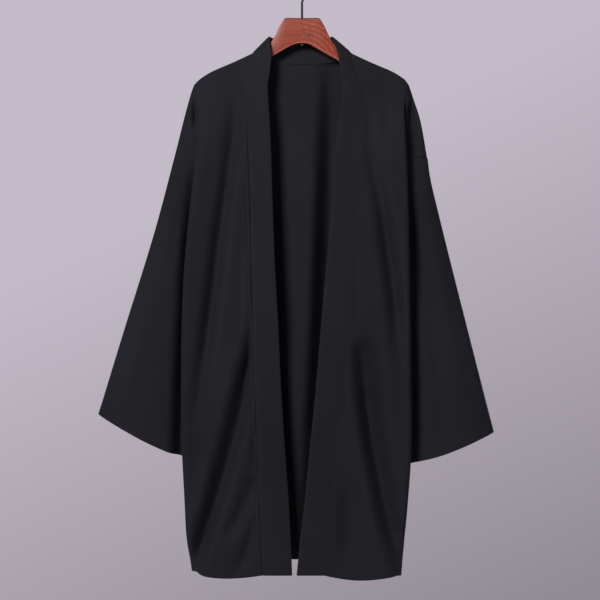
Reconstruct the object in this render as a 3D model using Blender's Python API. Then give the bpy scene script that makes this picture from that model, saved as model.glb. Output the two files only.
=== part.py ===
"""A long open haori jacket hanging on a wooden hanger.

The cloth is one surface, worked out row by row from the shoulder to the hem.
At each end of the hanger the cloth folds back behind the front, runs in to a
tuck beside the side seam and comes out again as the dropped shoulder, and the
sleeve hangs from that, between the front and the back. The surface is then
parted at its seams, and each piece becomes a thin closed wall.

Units are metres, +Z is up, the front faces -Y, and the wearer's left is at +X.
The origin is the inside top of the hook, where a rod would hold it.
"""
import math
from collections import namedtuple

import bmesh
import bpy
from mathutils import Vector

MM = 0.001

# Cloth
CLOTH_WALL = 1.5 * MM
BAND_WALL = 2.4 * MM
SEAM_GAP = 0.3 * MM
WELD_DISTANCE = 0.01 * MM
CLOTH_SHARP_DEGREES = 50

# Heights are below the origin; widths are from the middle of the garment.
NECK_POINT_X = 89 * MM
NECK_POINT_Z = -148 * MM
BACK_NECK_Z = -163.5 * MM
BACK_NECK_Y = 17 * MM
SHOULDER_END_X = 184 * MM
SHOULDER_END_Z = -195 * MM
SHOULDER_CROWN = 3 * MM
CROWN_LEAN = 2.5
NECK_FLATNESS = 4
ARM_WRAP = 9 * MM
WRAP_FLATNESS = 1.6
FRONT_HEM_Z = -1080 * MM
BACK_HEM_Z = -1065 * MM
UNDERARM_DROP = 255 * MM
BODY_DROP = 876 * MM
SETTLING_DROP = 60 * MM
BAND_SETTLING_DROP = 200 * MM
BACK_FOLD_SHARE = 0.97
BACK_DEPTH_SHARE = 0.92
TUCK_SPACE = 9 * MM
TUCK_RADIUS = 2.5 * MM
ARMHOLE_TOP_Z = -335 * MM
SHOULDER_TIP_Z = -205 * MM

# Wood and wire
BLOCK_TOP_Z = -85 * MM
WIRE_RADIUS = 1.8 * MM
HOOK_INNER_RADIUS = 20 * MM
BORE_CLEARANCE = 0.3 * MM
BORE_CUTTER_LENGTH = 60 * MM
BORE_SIDES = 12
BOARD_ROUNDING = 0.5
HARD_SHARP_DEGREES = 35
NUT_RADIUS = 3.4 * MM
NUT_HEIGHT = 2.2 * MM
WIRE_SIDES = 8
STEM_BELOW_CURL = 14 * MM
STEM_BEND = 11 * MM
STEM_SWAY = 3 * MM
CURL_START_DEGREES = -40
CURL_END_DEGREES = 205
CURL_STEPS = 20
STEM_STEPS = 6

# Rows of the body, by their drop from the shoulder line at the side fold.
ROW_DROPS = [0, 2.5, 9, 22, 40, 62, 92, 127, 167, 212, 255, 264,
             305, 365, 435, 510, 590, 665, 735, 795, 842, 876]
UNDERARM_ROW = 10

# How much of each upper row still lies flat round the end of the arm.
UNFOLDED = [1, 1, 1, 1, 0.86, 0.45, 0.12]

# Columns across a row.
BAND_COLUMNS = 2
FRONT_COLUMNS = 8
NECK_SHARES = [0, 0.3, 0.6, 0.82, 0.94]
FOLD_COLUMNS = 4
TUCK_COLUMNS = 3
TURN_COLUMNS = 2
DROP_COLUMNS = 8
SLEEVE_ROWS = 9

# Widths of one side, in millimetres: the free edge of the neckband, the seam
# of the neckband and the fold at the side.
Width = namedtuple("Width", "z edge seam fold")
WIDTHS = {
    "right": [
        Width(-148, 48, 89, 183),
        Width(-205, 61, 100, 184),
        Width(-270, 58, 99, 185),
        Width(-340, 55, 96, 189),
        Width(-410, 53, 93, 197),
        Width(-520, 49, 91, 208),
        Width(-630, 43, 88, 213),
        Width(-740, 38, 85, 214),
        Width(-850, 31, 80, 213),
        Width(-950, 24, 76, 208),
        Width(-1030, 20, 73, 203),
        Width(-1080, 18, 70, 195),
    ],
    "left": [
        Width(-148, 51, 89, 182),
        Width(-205, 70, 108, 183),
        Width(-270, 67, 108, 184),
        Width(-340, 59, 103, 187),
        Width(-410, 55, 99, 189),
        Width(-520, 45, 91, 191),
        Width(-630, 35, 82, 193),
        Width(-740, 26, 74, 194),
        Width(-850, 15, 63, 194),
        Width(-950, 5, 53, 188),
        Width(-1030, -4, 44, 182),
        Width(-1080, -9, 38, 176),
    ],
}

# Depths of the front and the back from the middle plane, the radius of the
# side fold, and how far from the middle the tuck reaches, in millimetres.
Depth = namedtuple("Depth", "z seam fold centre radius tuck")
DEPTHS = [
    Depth(-148, 9, 9, 17, 1.5, 184),
    Depth(-205, 18, 10, 22, 2.0, 180),
    Depth(-225, 19, 14, 24, 2.4, 170),
    Depth(-245, 20, 19, 26, 3.2, 160),
    Depth(-270, 22, 24, 28, 4.2, 147),
    Depth(-330, 25, 31, 31, 6.0, 120),
    Depth(-410, 29, 38, 35, 7.0, 94),
    Depth(-460, 31, 41, 37, 7.0, 80),
    Depth(-540, 33, 44, 39, 7.5, 75),
    Depth(-700, 37, 47, 42, 8.0, 76),
    Depth(-1080, 42, 49, 46, 8.0, 86),
]

# The outer line of the dropped shoulder and the sleeve, in millimetres.
Brim = namedtuple("Brim", "z x")
BRIMS = {
    "right": [
        Brim(-205, 194), Brim(-222, 200), Brim(-262, 211), Brim(-322, 226),
        Brim(-469, 265), Brim(-653, 322), Brim(-797, 366),
    ],
    "left": [
        Brim(-205, 192), Brim(-222, 198), Brim(-268, 213), Brim(-334, 225),
        Brim(-372, 230.5), Brim(-412, 239.5), Brim(-559, 276),
        Brim(-829, 345),
    ],
}

# The front hem: how far it sags and how far its outer corner is drawn up, in
# millimetres.
Hem = namedtuple("Hem", "sag corner")
HEMS = {"right": Hem(5, 6), "left": Hem(8.5, 0)}
HEM_CORNER_LEAN = 12

# The sleeve below the armhole: the inner end of the cuff and how far its line
# bows down, in millimetres.
Cuff = namedtuple("Cuff", "inner_x inner_z bow")
CUFFS = {"right": Cuff(140, -898, 11), "left": Cuff(118, -894, 14)}
SLEEVE_INNER_STEP = 4 * MM
ARMHOLE_DEPTH = 10 * MM
CUFF_DEPTH = 21 * MM
SLEEVE_END_RADIUS = 3.5 * MM
SLEEVE_CREST = 0.66

# The free edge of the neckband round the neck, in millimetres: its distance
# in from the seam on each side, its lift above it and its depth behind the
# middle plane.
Neck = namedtuple("Neck", "along right left lift y")
NECK_POINT_ALONG = 95
NECK = [
    Neck(0, 0, 0, 43, 16),
    Neck(31, 11, 11, 43, 15.8),
    Neck(62, 22, 22, 41, 14),
    Neck(80, 28, 28, 39, 12),
    Neck(88, 30, 30, 37.5, 10.5),
    Neck(95, 32, 32, 35, 0),
    Neck(98, 33.5, 33, 35, -10),
    Neck(106, 35, 32, 28, -13),
    Neck(120, 37.5, 29, 21, -18),
    Neck(142, 38, 31, 10, -21),
    Neck(170, 39, 36, 3, -23),
    Neck(200, 39, 38, 0, -24),
]

# Large folds: a line from top to bottom over a middle point, its half width
# and its depth, in millimetres. A negative depth is a trough. Each fold fades
# out over the same share of its length at both ends.
FOLD_FADE = 0.25
Fold = namedtuple("Fold", "piece x0 z0 x1 z1 x2 z2 half depth")
FOLDS = [
    Fold("front", -144, -340, -172, -545, -200, -770, 15, -5),
    Fold("front", -118, -300, -138, -560, -158, -760, 17, 4),
    Fold("front", -92, -660, -140, -835, -196, -1070, 15, -8),
    Fold("front", -112, -640, -168, -800, -190, -930, 15, 5),
    Fold("front", -90, -872, -114, -925, -134, -1000, 9, -4),
    Fold("front", -98, -930, -128, -1000, -150, -1079, 14, 4),
    Fold("front", 113, -268, 135, -450, 167, -630, 15, -5),
    Fold("front", 150, -280, 158, -420, 178, -560, 14, 3),
    Fold("front", 90, -670, 112, -835, 150, -1030, 15, -8),
    Fold("front", 120, -620, 150, -800, 172, -960, 15, 5),
    Fold("front", 76, -800, 92, -930, 110, -1079, 14, 4),
    Fold("back", 34, -214, 36, -430, 40, -660, 16, 7),
    Fold("back", -26, -300, -34, -560, -30, -900, 20, -5),
    Fold("back", 92, -250, 108, -480, 140, -720, 17, -5),
    Fold("back", 118, -560, 96, -800, 104, -1070, 18, 6),
    Fold("back", -100, -260, -122, -520, -150, -780, 17, -6),
    Fold("back", -92, -640, -112, -850, -96, -1070, 17, 6),
    Fold("back", 20, -760, 42, -900, 52, -1070, 18, -6),
    Fold("sleeve", 182, -440, 226, -650, 250, -865, 17, -5),
    Fold("sleeve", 232, -470, 270, -650, 300, -840, 18, 4),
    Fold("sleeve", -190, -450, -232, -650, -262, -850, 17, -5),
    Fold("sleeve", -246, -500, -292, -660, -322, -815, 18, 4),
]

# The hanger's board, in millimetres: its upper and lower edges and half its
# thickness at each distance from the middle.
Board = namedtuple("Board", "x top bottom half")
BOARD = [
    Board(0, -85, -131.5, 7.5),
    Board(6, -85, -131.5, 7.5),
    Board(16, -85, -134, 7.5),
    Board(29, -85, -140.5, 7.5),
    Board(33, -87.5, -143, 7.5),
    Board(41, -101, -147.5, 7.5),
    Board(47, -114, -151, 7.3),
    Board(56, -129, -156, 7.0),
    Board(70, -143, -164, 6.5),
    Board(89, -153.5, -174, 6.3),
    Board(110, -162, -185, 6.2),
    Board(135, -173.5, -198, 6.0),
    Board(160, -185.5, -209, 5.8),
    Board(178, -197, -218, 5.4),
    Board(185, -204.5, -219, 4.5),
    Board(189, -209, -216, 2.5),
]


def remove_all_objects():
    """Clears the scene without closing the file that this script runs from."""
    for item in list(bpy.data.objects):
        bpy.data.objects.remove(item, do_unlink=True)


def lerp(a, b, share):
    return a + (b - a) * share


def table_value(rows, key, column, at):
    """A smooth curve through one column of a table, at a value of its key."""
    keys = [getattr(row, key) for row in rows]
    values = [getattr(row, column) for row in rows]
    if keys[0] > keys[-1]:
        keys.reverse()
        values.reverse()
    at = min(max(at, keys[0]), keys[-1])
    last = len(keys) - 1
    i = 0
    while i < last - 1 and at > keys[i + 1]:
        i += 1

    def slope(j):
        low, high = max(j - 1, 0), min(j + 1, last)
        return (values[high] - values[low]) / (keys[high] - keys[low])

    span = keys[i + 1] - keys[i]
    t = (at - keys[i]) / span
    rise = values[i + 1] - values[i]
    a = slope(i) * span - rise
    b = rise - slope(i + 1) * span
    return lerp(values[i], values[i + 1], t) + t * (1 - t) * (a * (1 - t) + b * t)


def width(side, column, z):
    return table_value(WIDTHS[side], "z", column, z / MM) * MM


def depth(column, z):
    return table_value(DEPTHS, "z", column, z / MM) * MM


def brim(side, z):
    return table_value(BRIMS[side], "z", "x", z / MM) * MM


def fold_relief(piece, x, z):
    """How far the large folds lift the cloth at one place."""
    total = 0.0
    for fold in FOLDS:
        if fold.piece != piece:
            continue
        t = (fold.z0 * MM - z) / ((fold.z0 - fold.z2) * MM)
        if not 0 < t < 1:
            continue
        bend = 2 * fold.x1 - (fold.x0 + fold.x2) / 2
        middle = (1 - t) ** 2 * fold.x0 + 2 * t * (1 - t) * bend + t * t * fold.x2
        across = (x / MM - middle) / fold.half
        fade = min(1.0, t / FOLD_FADE) * min(1.0, (1 - t) / FOLD_FADE)
        total += fold.depth * MM * fade * math.exp(-across * across)
    return total


def top_height(x):
    """The shoulder line, or the back neck's seam inside the neck points."""
    x = abs(x)
    if x < NECK_POINT_X:
        share = (x / NECK_POINT_X) ** NECK_FLATNESS
        return lerp(BACK_NECK_Z, NECK_POINT_Z, share)
    share = (x - NECK_POINT_X) / (SHOULDER_END_X - NECK_POINT_X)
    crown = SHOULDER_CROWN * math.sin(math.pi * min(share, 1) ** CROWN_LEAN)
    return lerp(NECK_POINT_Z, SHOULDER_END_Z, share) + crown


def top_depth(x):
    """How far behind the middle plane the cloth's top edge lies."""
    if abs(x) >= NECK_POINT_X:
        return 0.0
    return BACK_NECK_Y * math.sqrt(1 - (x / NECK_POINT_X) ** 4)


def wrap_share(drop):
    """How much of its depth the cloth has gained on its way over the arm."""
    if drop >= ARM_WRAP:
        return 1.0
    return math.sqrt(1 - (1 - drop / ARM_WRAP) ** 2)


def side_fold(side, face, z):
    """The side fold's distance from the middle, its depth and its radius."""
    x_share, y_share = (1, 1) if face < 0 else (BACK_FOLD_SHARE, BACK_DEPTH_SHARE)
    return width(side, "fold", z) * x_share, depth("fold", z) * y_share, depth("radius", z)


def front_hem(side, share):
    """The height of the front's hem: it sags, and its corner is drawn up."""
    hem = HEMS[side]
    sag = hem.sag * math.sin(math.pi * share) - hem.corner * share ** HEM_CORNER_LEAN
    return FRONT_HEM_Z - sag * MM


def open_cloth(side, face, share, drop):
    """A point of the front or the back between its inner end and the side fold."""
    sign = 1 if side == "left" else -1
    inner_top = NECK_POINT_X if face < 0 else 0.0
    top_x = lerp(inner_top, SHOULDER_END_X, share)
    top_z = top_height(top_x)
    hem_z = front_hem(side, share)
    if face > 0:
        hem_z = lerp(BACK_HEM_Z, front_hem(side, 1.0), share ** 2)
    z = top_z + (hem_z - top_z) * drop / BODY_DROP
    fold_x, fold_y, radius = side_fold(side, face, z)
    if face < 0:
        x = lerp(width(side, "seam", z), fold_x - radius, share)
        deep = lerp(depth("seam", z), fold_y, share)
    else:
        x = (fold_x - radius) * share
        deep = lerp(depth("centre", z), fold_y, share * share)
    x = lerp(top_x, x, min(1.0, drop / SETTLING_DROP))
    edge_deep = top_depth(top_x) if face > 0 else 0.0
    wrap = wrap_share(drop)
    y = edge_deep + (deep - edge_deep) * wrap
    y += fold_relief("front" if face < 0 else "back", sign * x, z) * wrap
    return x, y, z


def tuck_place(row, z):
    """The tuck's inmost line: distance from the middle, depth and radius."""
    x = depth("tuck", z)
    if row < UNDERARM_ROW:
        return x, TUCK_SPACE - TUCK_RADIUS, TUCK_RADIUS
    if row == UNDERARM_ROW:
        return x, TUCK_SPACE / 2, TUCK_SPACE / 2
    return x - 2 * TUCK_RADIUS, 0.0, TUCK_SPACE


def folded_cloth(side, face, row):
    """The points of one row from the side fold in to the tuck's inmost line."""
    drop = ROW_DROPS[row] * MM
    x, start_y, z = open_cloth(side, face, 1.0, drop)
    radius = depth("radius", z)
    tuck_x, tuck_y, tuck_radius = tuck_place(row, z)
    points = []
    for i in range(1, FOLD_COLUMNS + 1):
        turn = math.pi * i / FOLD_COLUMNS
        points.append((x + radius * math.sin(turn),
                       start_y - radius + radius * math.cos(turn), z))
    near = (tuck_x + tuck_radius, tuck_y + tuck_radius)
    far_y = start_y - 2 * radius
    for i in range(1, TUCK_COLUMNS + 1):
        share = i / TUCK_COLUMNS
        points.append((lerp(x, near[0], share), lerp(far_y, near[1], share), z))
    for i in range(1, TURN_COLUMNS + 1):
        turn = math.pi / 2 * i / TURN_COLUMNS
        points.append((tuck_x + tuck_radius - tuck_radius * math.sin(turn),
                       tuck_y + tuck_radius * math.cos(turn), z))
    return points


def bulge(share):
    """The half depth of the flattened sleeve across its width, from 0 to 1."""
    if share < SLEEVE_CREST:
        return math.sin(math.pi / 2 * share / SLEEVE_CREST)
    return math.sqrt(max(0.0, 1 - ((share - SLEEVE_CREST) / (1 - SLEEVE_CREST)) ** 2))


def shoulder_line(side, row):
    """Where one row of the dropped shoulder meets the outer line."""
    share = ROW_DROPS[row] / ROW_DROPS[UNDERARM_ROW]
    z = lerp(SHOULDER_TIP_Z, ARMHOLE_TOP_Z, share)
    return brim(side, z), z


def dropped_shoulder(side, face, row):
    """The points of one row from the tuck out to the outer line."""
    z = open_cloth(side, face, 1.0, ROW_DROPS[row] * MM)[2]
    tuck_x, tuck_y, tuck_radius = tuck_place(row, z)
    end_x, end_z = shoulder_line(side, row)
    start = max(tuck_y - tuck_radius, SLEEVE_END_RADIUS / 2)
    points = []
    for i in range(1, DROP_COLUMNS + 1):
        share = i / DROP_COLUMNS
        x = lerp(tuck_x, end_x, share)
        y = bulge(share) * ARMHOLE_DEPTH + start * (1 - share) ** 2
        points.append((x, y, lerp(end_z, z, (1 - share) ** 2)))
    return points


def flat_wrap(side, face, row, count):
    """The points of one row as they would lie flat round the end of the arm."""
    x, start_y, z = open_cloth(side, face, 1.0, ROW_DROPS[row] * MM)
    end_x, end_z = shoulder_line(side, row)
    points = []
    for i in range(1, count + 1):
        share = i / count
        points.append((lerp(x, end_x, share),
                       start_y * (1 - share ** WRAP_FLATNESS) ** (1 / WRAP_FLATNESS),
                       lerp(z, end_z, share)))
    return points


def outer_row(side, face, row):
    """One row from the side fold on: to the tuck, and above the underarm out to
    the outer line."""
    points = folded_cloth(side, face, row)
    if row > UNDERARM_ROW:
        return points
    points += dropped_shoulder(side, face, row)
    flat = flat_wrap(side, face, row, len(points))
    share = UNFOLDED[row] if row < len(UNFOLDED) else 0
    return [tuple(lerp(a, b, share) for a, b in zip(p, q)) for p, q in zip(points, flat)]


class Surface:
    """Cloth with no thickness yet: shared points and faces marked by piece."""

    def __init__(self):
        self.points = []
        self.places = {}
        self.faces = []

    def point(self, place):
        key = tuple(round(value / WELD_DISTANCE) for value in place)
        if key not in self.places:
            self.places[key] = len(self.points)
            self.points.append(place)
        return self.places[key]

    def grid(self, piece, rows, flip):
        """Adds a grid of places, given as rows of equal length, to a piece."""
        for upper, lower in zip(rows, rows[1:]):
            for i in range(len(upper) - 1):
                corners = [upper[i], lower[i], lower[i + 1], upper[i + 1]]
                face = [self.point(corner) for corner in corners]
                if flip:
                    face.reverse()
                if len(set(face)) == 4:
                    self.faces.append((piece, face))


def world(side, face, place):
    """Mirrors a place worked out for one side and face into the object's frame."""
    x, y, z = place
    return (x if side == "left" else -x, y * face, z)


def body_row(side, face, row):
    """All the places of one row of the front or the back, from its inner end."""
    drop = ROW_DROPS[row] * MM
    if face < 0:
        shares = [i / FRONT_COLUMNS for i in range(FRONT_COLUMNS + 1)]
    else:
        neck_share = NECK_POINT_X / SHOULDER_END_X
        shares = [neck_share * share for share in NECK_SHARES]
        shares += [lerp(neck_share, 1, i / FRONT_COLUMNS) for i in range(FRONT_COLUMNS + 1)]
    places = [open_cloth(side, face, share, drop) for share in shares]
    return [world(side, face, place) for place in places + outer_row(side, face, row)]


def add_body(surface, side, face):
    """Adds one front, or one half of the back, with its dropped shoulder."""
    piece = "back_panel" if face > 0 else "front_" + side
    flip = (side == "left") == (face > 0)
    rows = [body_row(side, face, row) for row in range(len(ROW_DROPS))]
    tuck = len(rows[-1])
    surface.grid(piece, [row[:tuck] for row in rows], flip)
    surface.grid(piece, [row[tuck - 1:] for row in rows[:UNDERARM_ROW + 1]], flip)


def sleeve_half(side, face, step):
    """One row of half the sleeve, from its inner end out to the outer line."""
    down = step / SLEEVE_ROWS
    z_top = open_cloth(side, -1, 1.0, UNDERARM_DROP)[2]
    tuck_x = tuck_place(UNDERARM_ROW, z_top)[0]
    cuff = CUFFS[side]
    tip_z = BRIMS[side][-1].z * MM
    end_z = lerp(ARMHOLE_TOP_Z, tip_z, down)
    end_x = brim(side, end_z)
    inner_x = lerp(tuck_x + SLEEVE_INNER_STEP, cuff.inner_x * MM, down)
    inner_z = lerp(z_top, cuff.inner_z * MM, down)
    places = []
    for i in range(DROP_COLUMNS + 1):
        share = i / DROP_COLUMNS
        x = lerp(inner_x, end_x, share)
        z = lerp(end_z, inner_z, lerp((1 - share) ** 2, 1 - share, down))
        z -= cuff.bow * MM * down * math.sin(math.pi * share)
        y = lerp(ARMHOLE_DEPTH, CUFF_DEPTH, down) * bulge(share)
        y += SLEEVE_END_RADIUS * (1 - share) ** 4
        sign = 1 if side == "left" else -1
        y += fold_relief("sleeve", sign * x, z) * (1 - share) * share * 4
        places.append((x, y, z))
    if step == 0:
        seam = dropped_shoulder(side, face, UNDERARM_ROW)
        places = places[:1] + seam
    return [world(side, face, place) for place in places]


def add_sleeve(surface, side):
    """Adds one sleeve: a flattened tube from the armhole down to the cuff."""
    rings = []
    for step in range(SLEEVE_ROWS + 1):
        front = sleeve_half(side, -1, step)
        back = sleeve_half(side, 1, step)
        inner = front[0]
        sign = 1 if side == "left" else -1
        end = (inner[0] - sign * SLEEVE_END_RADIUS / 2, 0.0, inner[2])
        rings.append(front + back[-2::-1] + [end, inner])
    surface.grid("sleeve_" + side, rings, side == "right")


def neck_edge(side, face, seam, along):
    """The neckband's free edge across from a place on its seam."""
    x, y, z = seam
    reach = table_value(NECK, "along", side, along / MM) * MM
    lift = table_value(NECK, "along", "lift", along / MM) * MM
    if face > 0:
        return x - reach, table_value(NECK, "along", "y", along / MM) * MM, z + lift
    full = getattr(NECK[-1], side) * MM
    reach *= (width(side, "seam", z) - width(side, "edge", z)) / full
    deep = -table_value(NECK, "along", "y", along / MM) * MM
    past = max(0.0, along - NECK[-1].along * MM)
    deep = lerp(deep, y, min(1, past / BAND_SETTLING_DROP))
    return x - reach, deep, z + lift


def band_station(side, face, seam, along):
    """The places across the neckband, from its seam to its free edge."""
    edge = neck_edge(side, face, seam, along)
    places = []
    for i in range(BAND_COLUMNS + 1):
        share = i / BAND_COLUMNS
        places.append(tuple(lerp(a, b, share) for a, b in zip(seam, edge)))
    return [world(side, face, place) for place in places]


def band_side(side):
    """The neckband's stations from the middle of the back to the front hem."""
    stations = []
    neck_share = NECK_POINT_X / SHOULDER_END_X
    half_neck = NECK_POINT_ALONG * MM
    for share in NECK_SHARES:
        seam = open_cloth(side, 1, neck_share * share, 0)
        stations.append(band_station(side, 1, seam, half_neck * share))
    for drop in ROW_DROPS:
        seam = open_cloth(side, -1, 0, drop * MM)
        along = half_neck + NECK_POINT_Z - seam[2]
        stations.append(band_station(side, -1, seam, along))
    return stations


def vertex_normals(surface):
    """Normals over the whole garment, so that walls line up at every seam."""
    normals = [Vector() for _ in surface.points]
    for _, face in surface.faces:
        corners = [Vector(surface.points[i]) for i in face]
        normal = (corners[2] - corners[0]).cross(corners[3] - corners[1])
        for i in face:
            normals[i] += normal.normalized()
    return [normal.normalized() for normal in normals]


def shared_points(surface):
    """The points on a seam: those that more than one piece uses."""
    users = {}
    for piece, face in surface.faces:
        for i in face:
            users.setdefault(i, set()).add(piece)
    return {i for i, pieces in users.items() if len(pieces) > 1}


def part_at_seams(surface, faces, normals, seam):
    """The points of one piece, drawn back from its seams by half the gap."""
    places = {i: Vector(surface.points[i]) for face in faces for i in face}
    pulls = {}
    for face in faces:
        for i in face:
            if i in seam:
                middle = sum((Vector(surface.points[j]) for j in face), Vector()) / 4
                pull = middle - Vector(surface.points[i])
                pulls[i] = pulls.get(i, Vector()) + pull.normalized()
    for i, pull in pulls.items():
        pull -= normals[i] * pull.dot(normals[i])
        places[i] += pull.normalized() * SEAM_GAP / 2
    return places


def cloth_piece(surface, name, normals, seam, wall, material):
    """Makes one piece of the surface into a closed wall."""
    faces = [face for piece, face in surface.faces if piece == name]
    places = part_at_seams(surface, faces, normals, seam)
    mesh = bmesh.new()
    outer = {}
    inner = {}
    for i, place in places.items():
        outer[i] = mesh.verts.new(place + normals[i] * wall / 2)
        inner[i] = mesh.verts.new(place - normals[i] * wall / 2)
    edges = set()
    for face in faces:
        for half in (face[:3], face[2:] + face[:1]):
            mesh.faces.new([outer[i] for i in half])
            mesh.faces.new([inner[i] for i in reversed(half)])
        edges.update(zip(face, face[1:] + face[:1]))
    for a, b in sorted(edges):
        if (b, a) not in edges:
            mesh.faces.new([outer[b], outer[a], inner[a], inner[b]])
    return finish(name, mesh, material, CLOTH_SHARP_DEGREES)


def finish(name, mesh, material, sharp_degrees):
    """Makes an object of a bmesh, with its material and smooth shading."""
    data = bpy.data.meshes.new(name)
    mesh.to_mesh(data)
    mesh.free()
    data.materials.append(material)
    data.shade_smooth()
    data.set_sharp_from_angle(angle=math.radians(sharp_degrees))
    item = bpy.data.objects.new(name, data)
    bpy.context.scene.collection.objects.link(item)
    return item


def plain_material(name, colour, roughness, metallic):
    material = bpy.data.materials.new(name)
    material.use_nodes = True
    shader = material.node_tree.nodes["Principled BSDF"]
    shader.inputs["Base Color"].default_value = (*colour, 1)
    shader.inputs["Roughness"].default_value = roughness
    shader.inputs["Metallic"].default_value = metallic
    return material


def make_garment():
    """All the sewn pieces."""
    surface = Surface()
    for side in ("left", "right"):
        add_body(surface, side, -1)
        add_body(surface, side, 1)
        add_sleeve(surface, side)
    stations = band_side("right")[:0:-1] + band_side("left")
    surface.grid("neckband", stations, True)
    normals = vertex_normals(surface)
    seam = shared_points(surface)
    cloth = plain_material("black_cloth", (0.016, 0.015, 0.018), 0.82, 0)
    for name in ("back_panel", "front_left", "front_right", "sleeve_left", "sleeve_right"):
        cloth_piece(surface, name, normals, seam, CLOTH_WALL, cloth)
    cloth_piece(surface, "neckband", normals, seam, BAND_WALL, cloth)


def board_ring(x, top, bottom, half):
    """A rounded section of the hanger's board."""
    middle, tall = (top + bottom) / 2, (top - bottom) / 2
    rounding = min(half, tall) * BOARD_ROUNDING
    ring = []
    for sign_y, sign_z, start in ((1, 1, 0), (-1, 1, 90), (-1, -1, 180), (1, -1, 270)):
        for turn in (start, start + 45, start + 90):
            angle = math.radians(turn)
            ring.append((x,
                         sign_y * (half - rounding) + rounding * math.cos(angle),
                         middle + sign_z * (tall - rounding) + rounding * math.sin(angle)))
    return ring


def loft(mesh, rings):
    """Joins closed rings of points and caps both ends."""
    made = [[mesh.verts.new(place) for place in ring] for ring in rings]
    for first, second in zip(made, made[1:]):
        for i in range(len(first)):
            j = (i + 1) % len(first)
            mesh.faces.new([first[i], first[j], second[j], second[i]])
    mesh.faces.new(list(reversed(made[0])))
    mesh.faces.new(made[-1])
    bmesh.ops.recalc_face_normals(mesh, faces=mesh.faces)


def make_wood():
    """The hanger's board, with a bore through its block for the wire."""
    rows = [(-row.x, row) for row in reversed(BOARD[1:])] + [(row.x, row) for row in BOARD]
    mesh = bmesh.new()
    loft(mesh, [board_ring(x * MM, row.top * MM, row.bottom * MM, row.half * MM)
                for x, row in rows])
    wood = plain_material("reddish_wood", (0.35, 0.085, 0.045), 0.38, 0)
    board = finish("hanger_wood", mesh, wood, HARD_SHARP_DEGREES)
    cutter_mesh = bmesh.new()
    bmesh.ops.create_cone(cutter_mesh, cap_ends=True, segments=BORE_SIDES,
                          radius1=WIRE_RADIUS + BORE_CLEARANCE,
                          radius2=WIRE_RADIUS + BORE_CLEARANCE, depth=BORE_CUTTER_LENGTH)
    cutter = finish("bore_cutter", cutter_mesh, wood, HARD_SHARP_DEGREES)
    cutter.location.z = lerp(BOARD[0].top, BOARD[0].bottom, 0.5) * MM
    cutter.hide_render = True
    cutter.display_type = "WIRE"
    bore = board.modifiers.new("bore", "BOOLEAN")
    bore.operation = "DIFFERENCE"
    bore.object = cutter


def hook_route():
    """The wire's middle line from the nut up round the curl, in the XZ plane."""
    radius = HOOK_INNER_RADIUS + WIRE_RADIUS
    centre_z = -HOOK_INNER_RADIUS
    neck_z = centre_z - radius - STEM_BELOW_CURL
    nut_z = BOARD[0].bottom * MM - SEAM_GAP
    route = [(0.0, nut_z - NUT_HEIGHT, NUT_RADIUS), (0.0, nut_z, NUT_RADIUS),
             (0.0, nut_z, WIRE_RADIUS), (0.0, BLOCK_TOP_Z, WIRE_RADIUS),
             (0.0, neck_z, WIRE_RADIUS)]
    join = math.radians(CURL_START_DEGREES)
    join_x, join_z = radius * math.cos(join), centre_z + radius * math.sin(join)
    control_z = neck_z + STEM_BEND
    for i in range(1, STEM_STEPS):
        t = i / STEM_STEPS
        x = 2 * t * (1 - t) * STEM_SWAY + t * t * join_x
        z = (1 - t) ** 2 * neck_z + 2 * t * (1 - t) * control_z + t * t * join_z
        route.append((x, z, WIRE_RADIUS))
    for i in range(CURL_STEPS + 1):
        angle = lerp(join, math.radians(CURL_END_DEGREES), i / CURL_STEPS)
        route.append((radius * math.cos(angle), centre_z + radius * math.sin(angle), WIRE_RADIUS))
    return route


def make_hook():
    """The wire hook with its nut: a round section carried along the route."""
    route = hook_route()
    rings = []
    for i, (x, z, radius) in enumerate(route):
        ahead = route[min(i + 1, len(route) - 1)]
        behind = route[max(i - 1, 0)]
        along = Vector((ahead[0] - behind[0], 0, ahead[1] - behind[1])).normalized()
        across = Vector((along.z, 0, -along.x))
        ring = []
        for k in range(WIRE_SIDES):
            turn = 2 * math.pi * k / WIRE_SIDES
            place = Vector((x, 0, z)) + across * radius * math.cos(turn)
            place.y = radius * math.sin(turn)
            ring.append(place)
        rings.append(ring)
    mesh = bmesh.new()
    loft(mesh, rings)
    finish("hook_wire", mesh, plain_material("dark_wire", (0.05, 0.035, 0.035), 0.35, 1),
           HARD_SHARP_DEGREES)


def main():
    remove_all_objects()
    make_garment()
    make_wood()
    make_hook()


main()
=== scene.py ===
"""A long open haori jacket on a wooden hanger: its cloth, stitching, wood and wire.

Units are metres, +Z is up, the front faces -Y and the wearer's left is at +X.
The cloth is worked out as one surface, row by row from the shoulder to the hem.
It is then parted at its seams, and each sewn piece becomes a thin shell.
"""
import functools
import math
from collections import namedtuple

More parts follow.
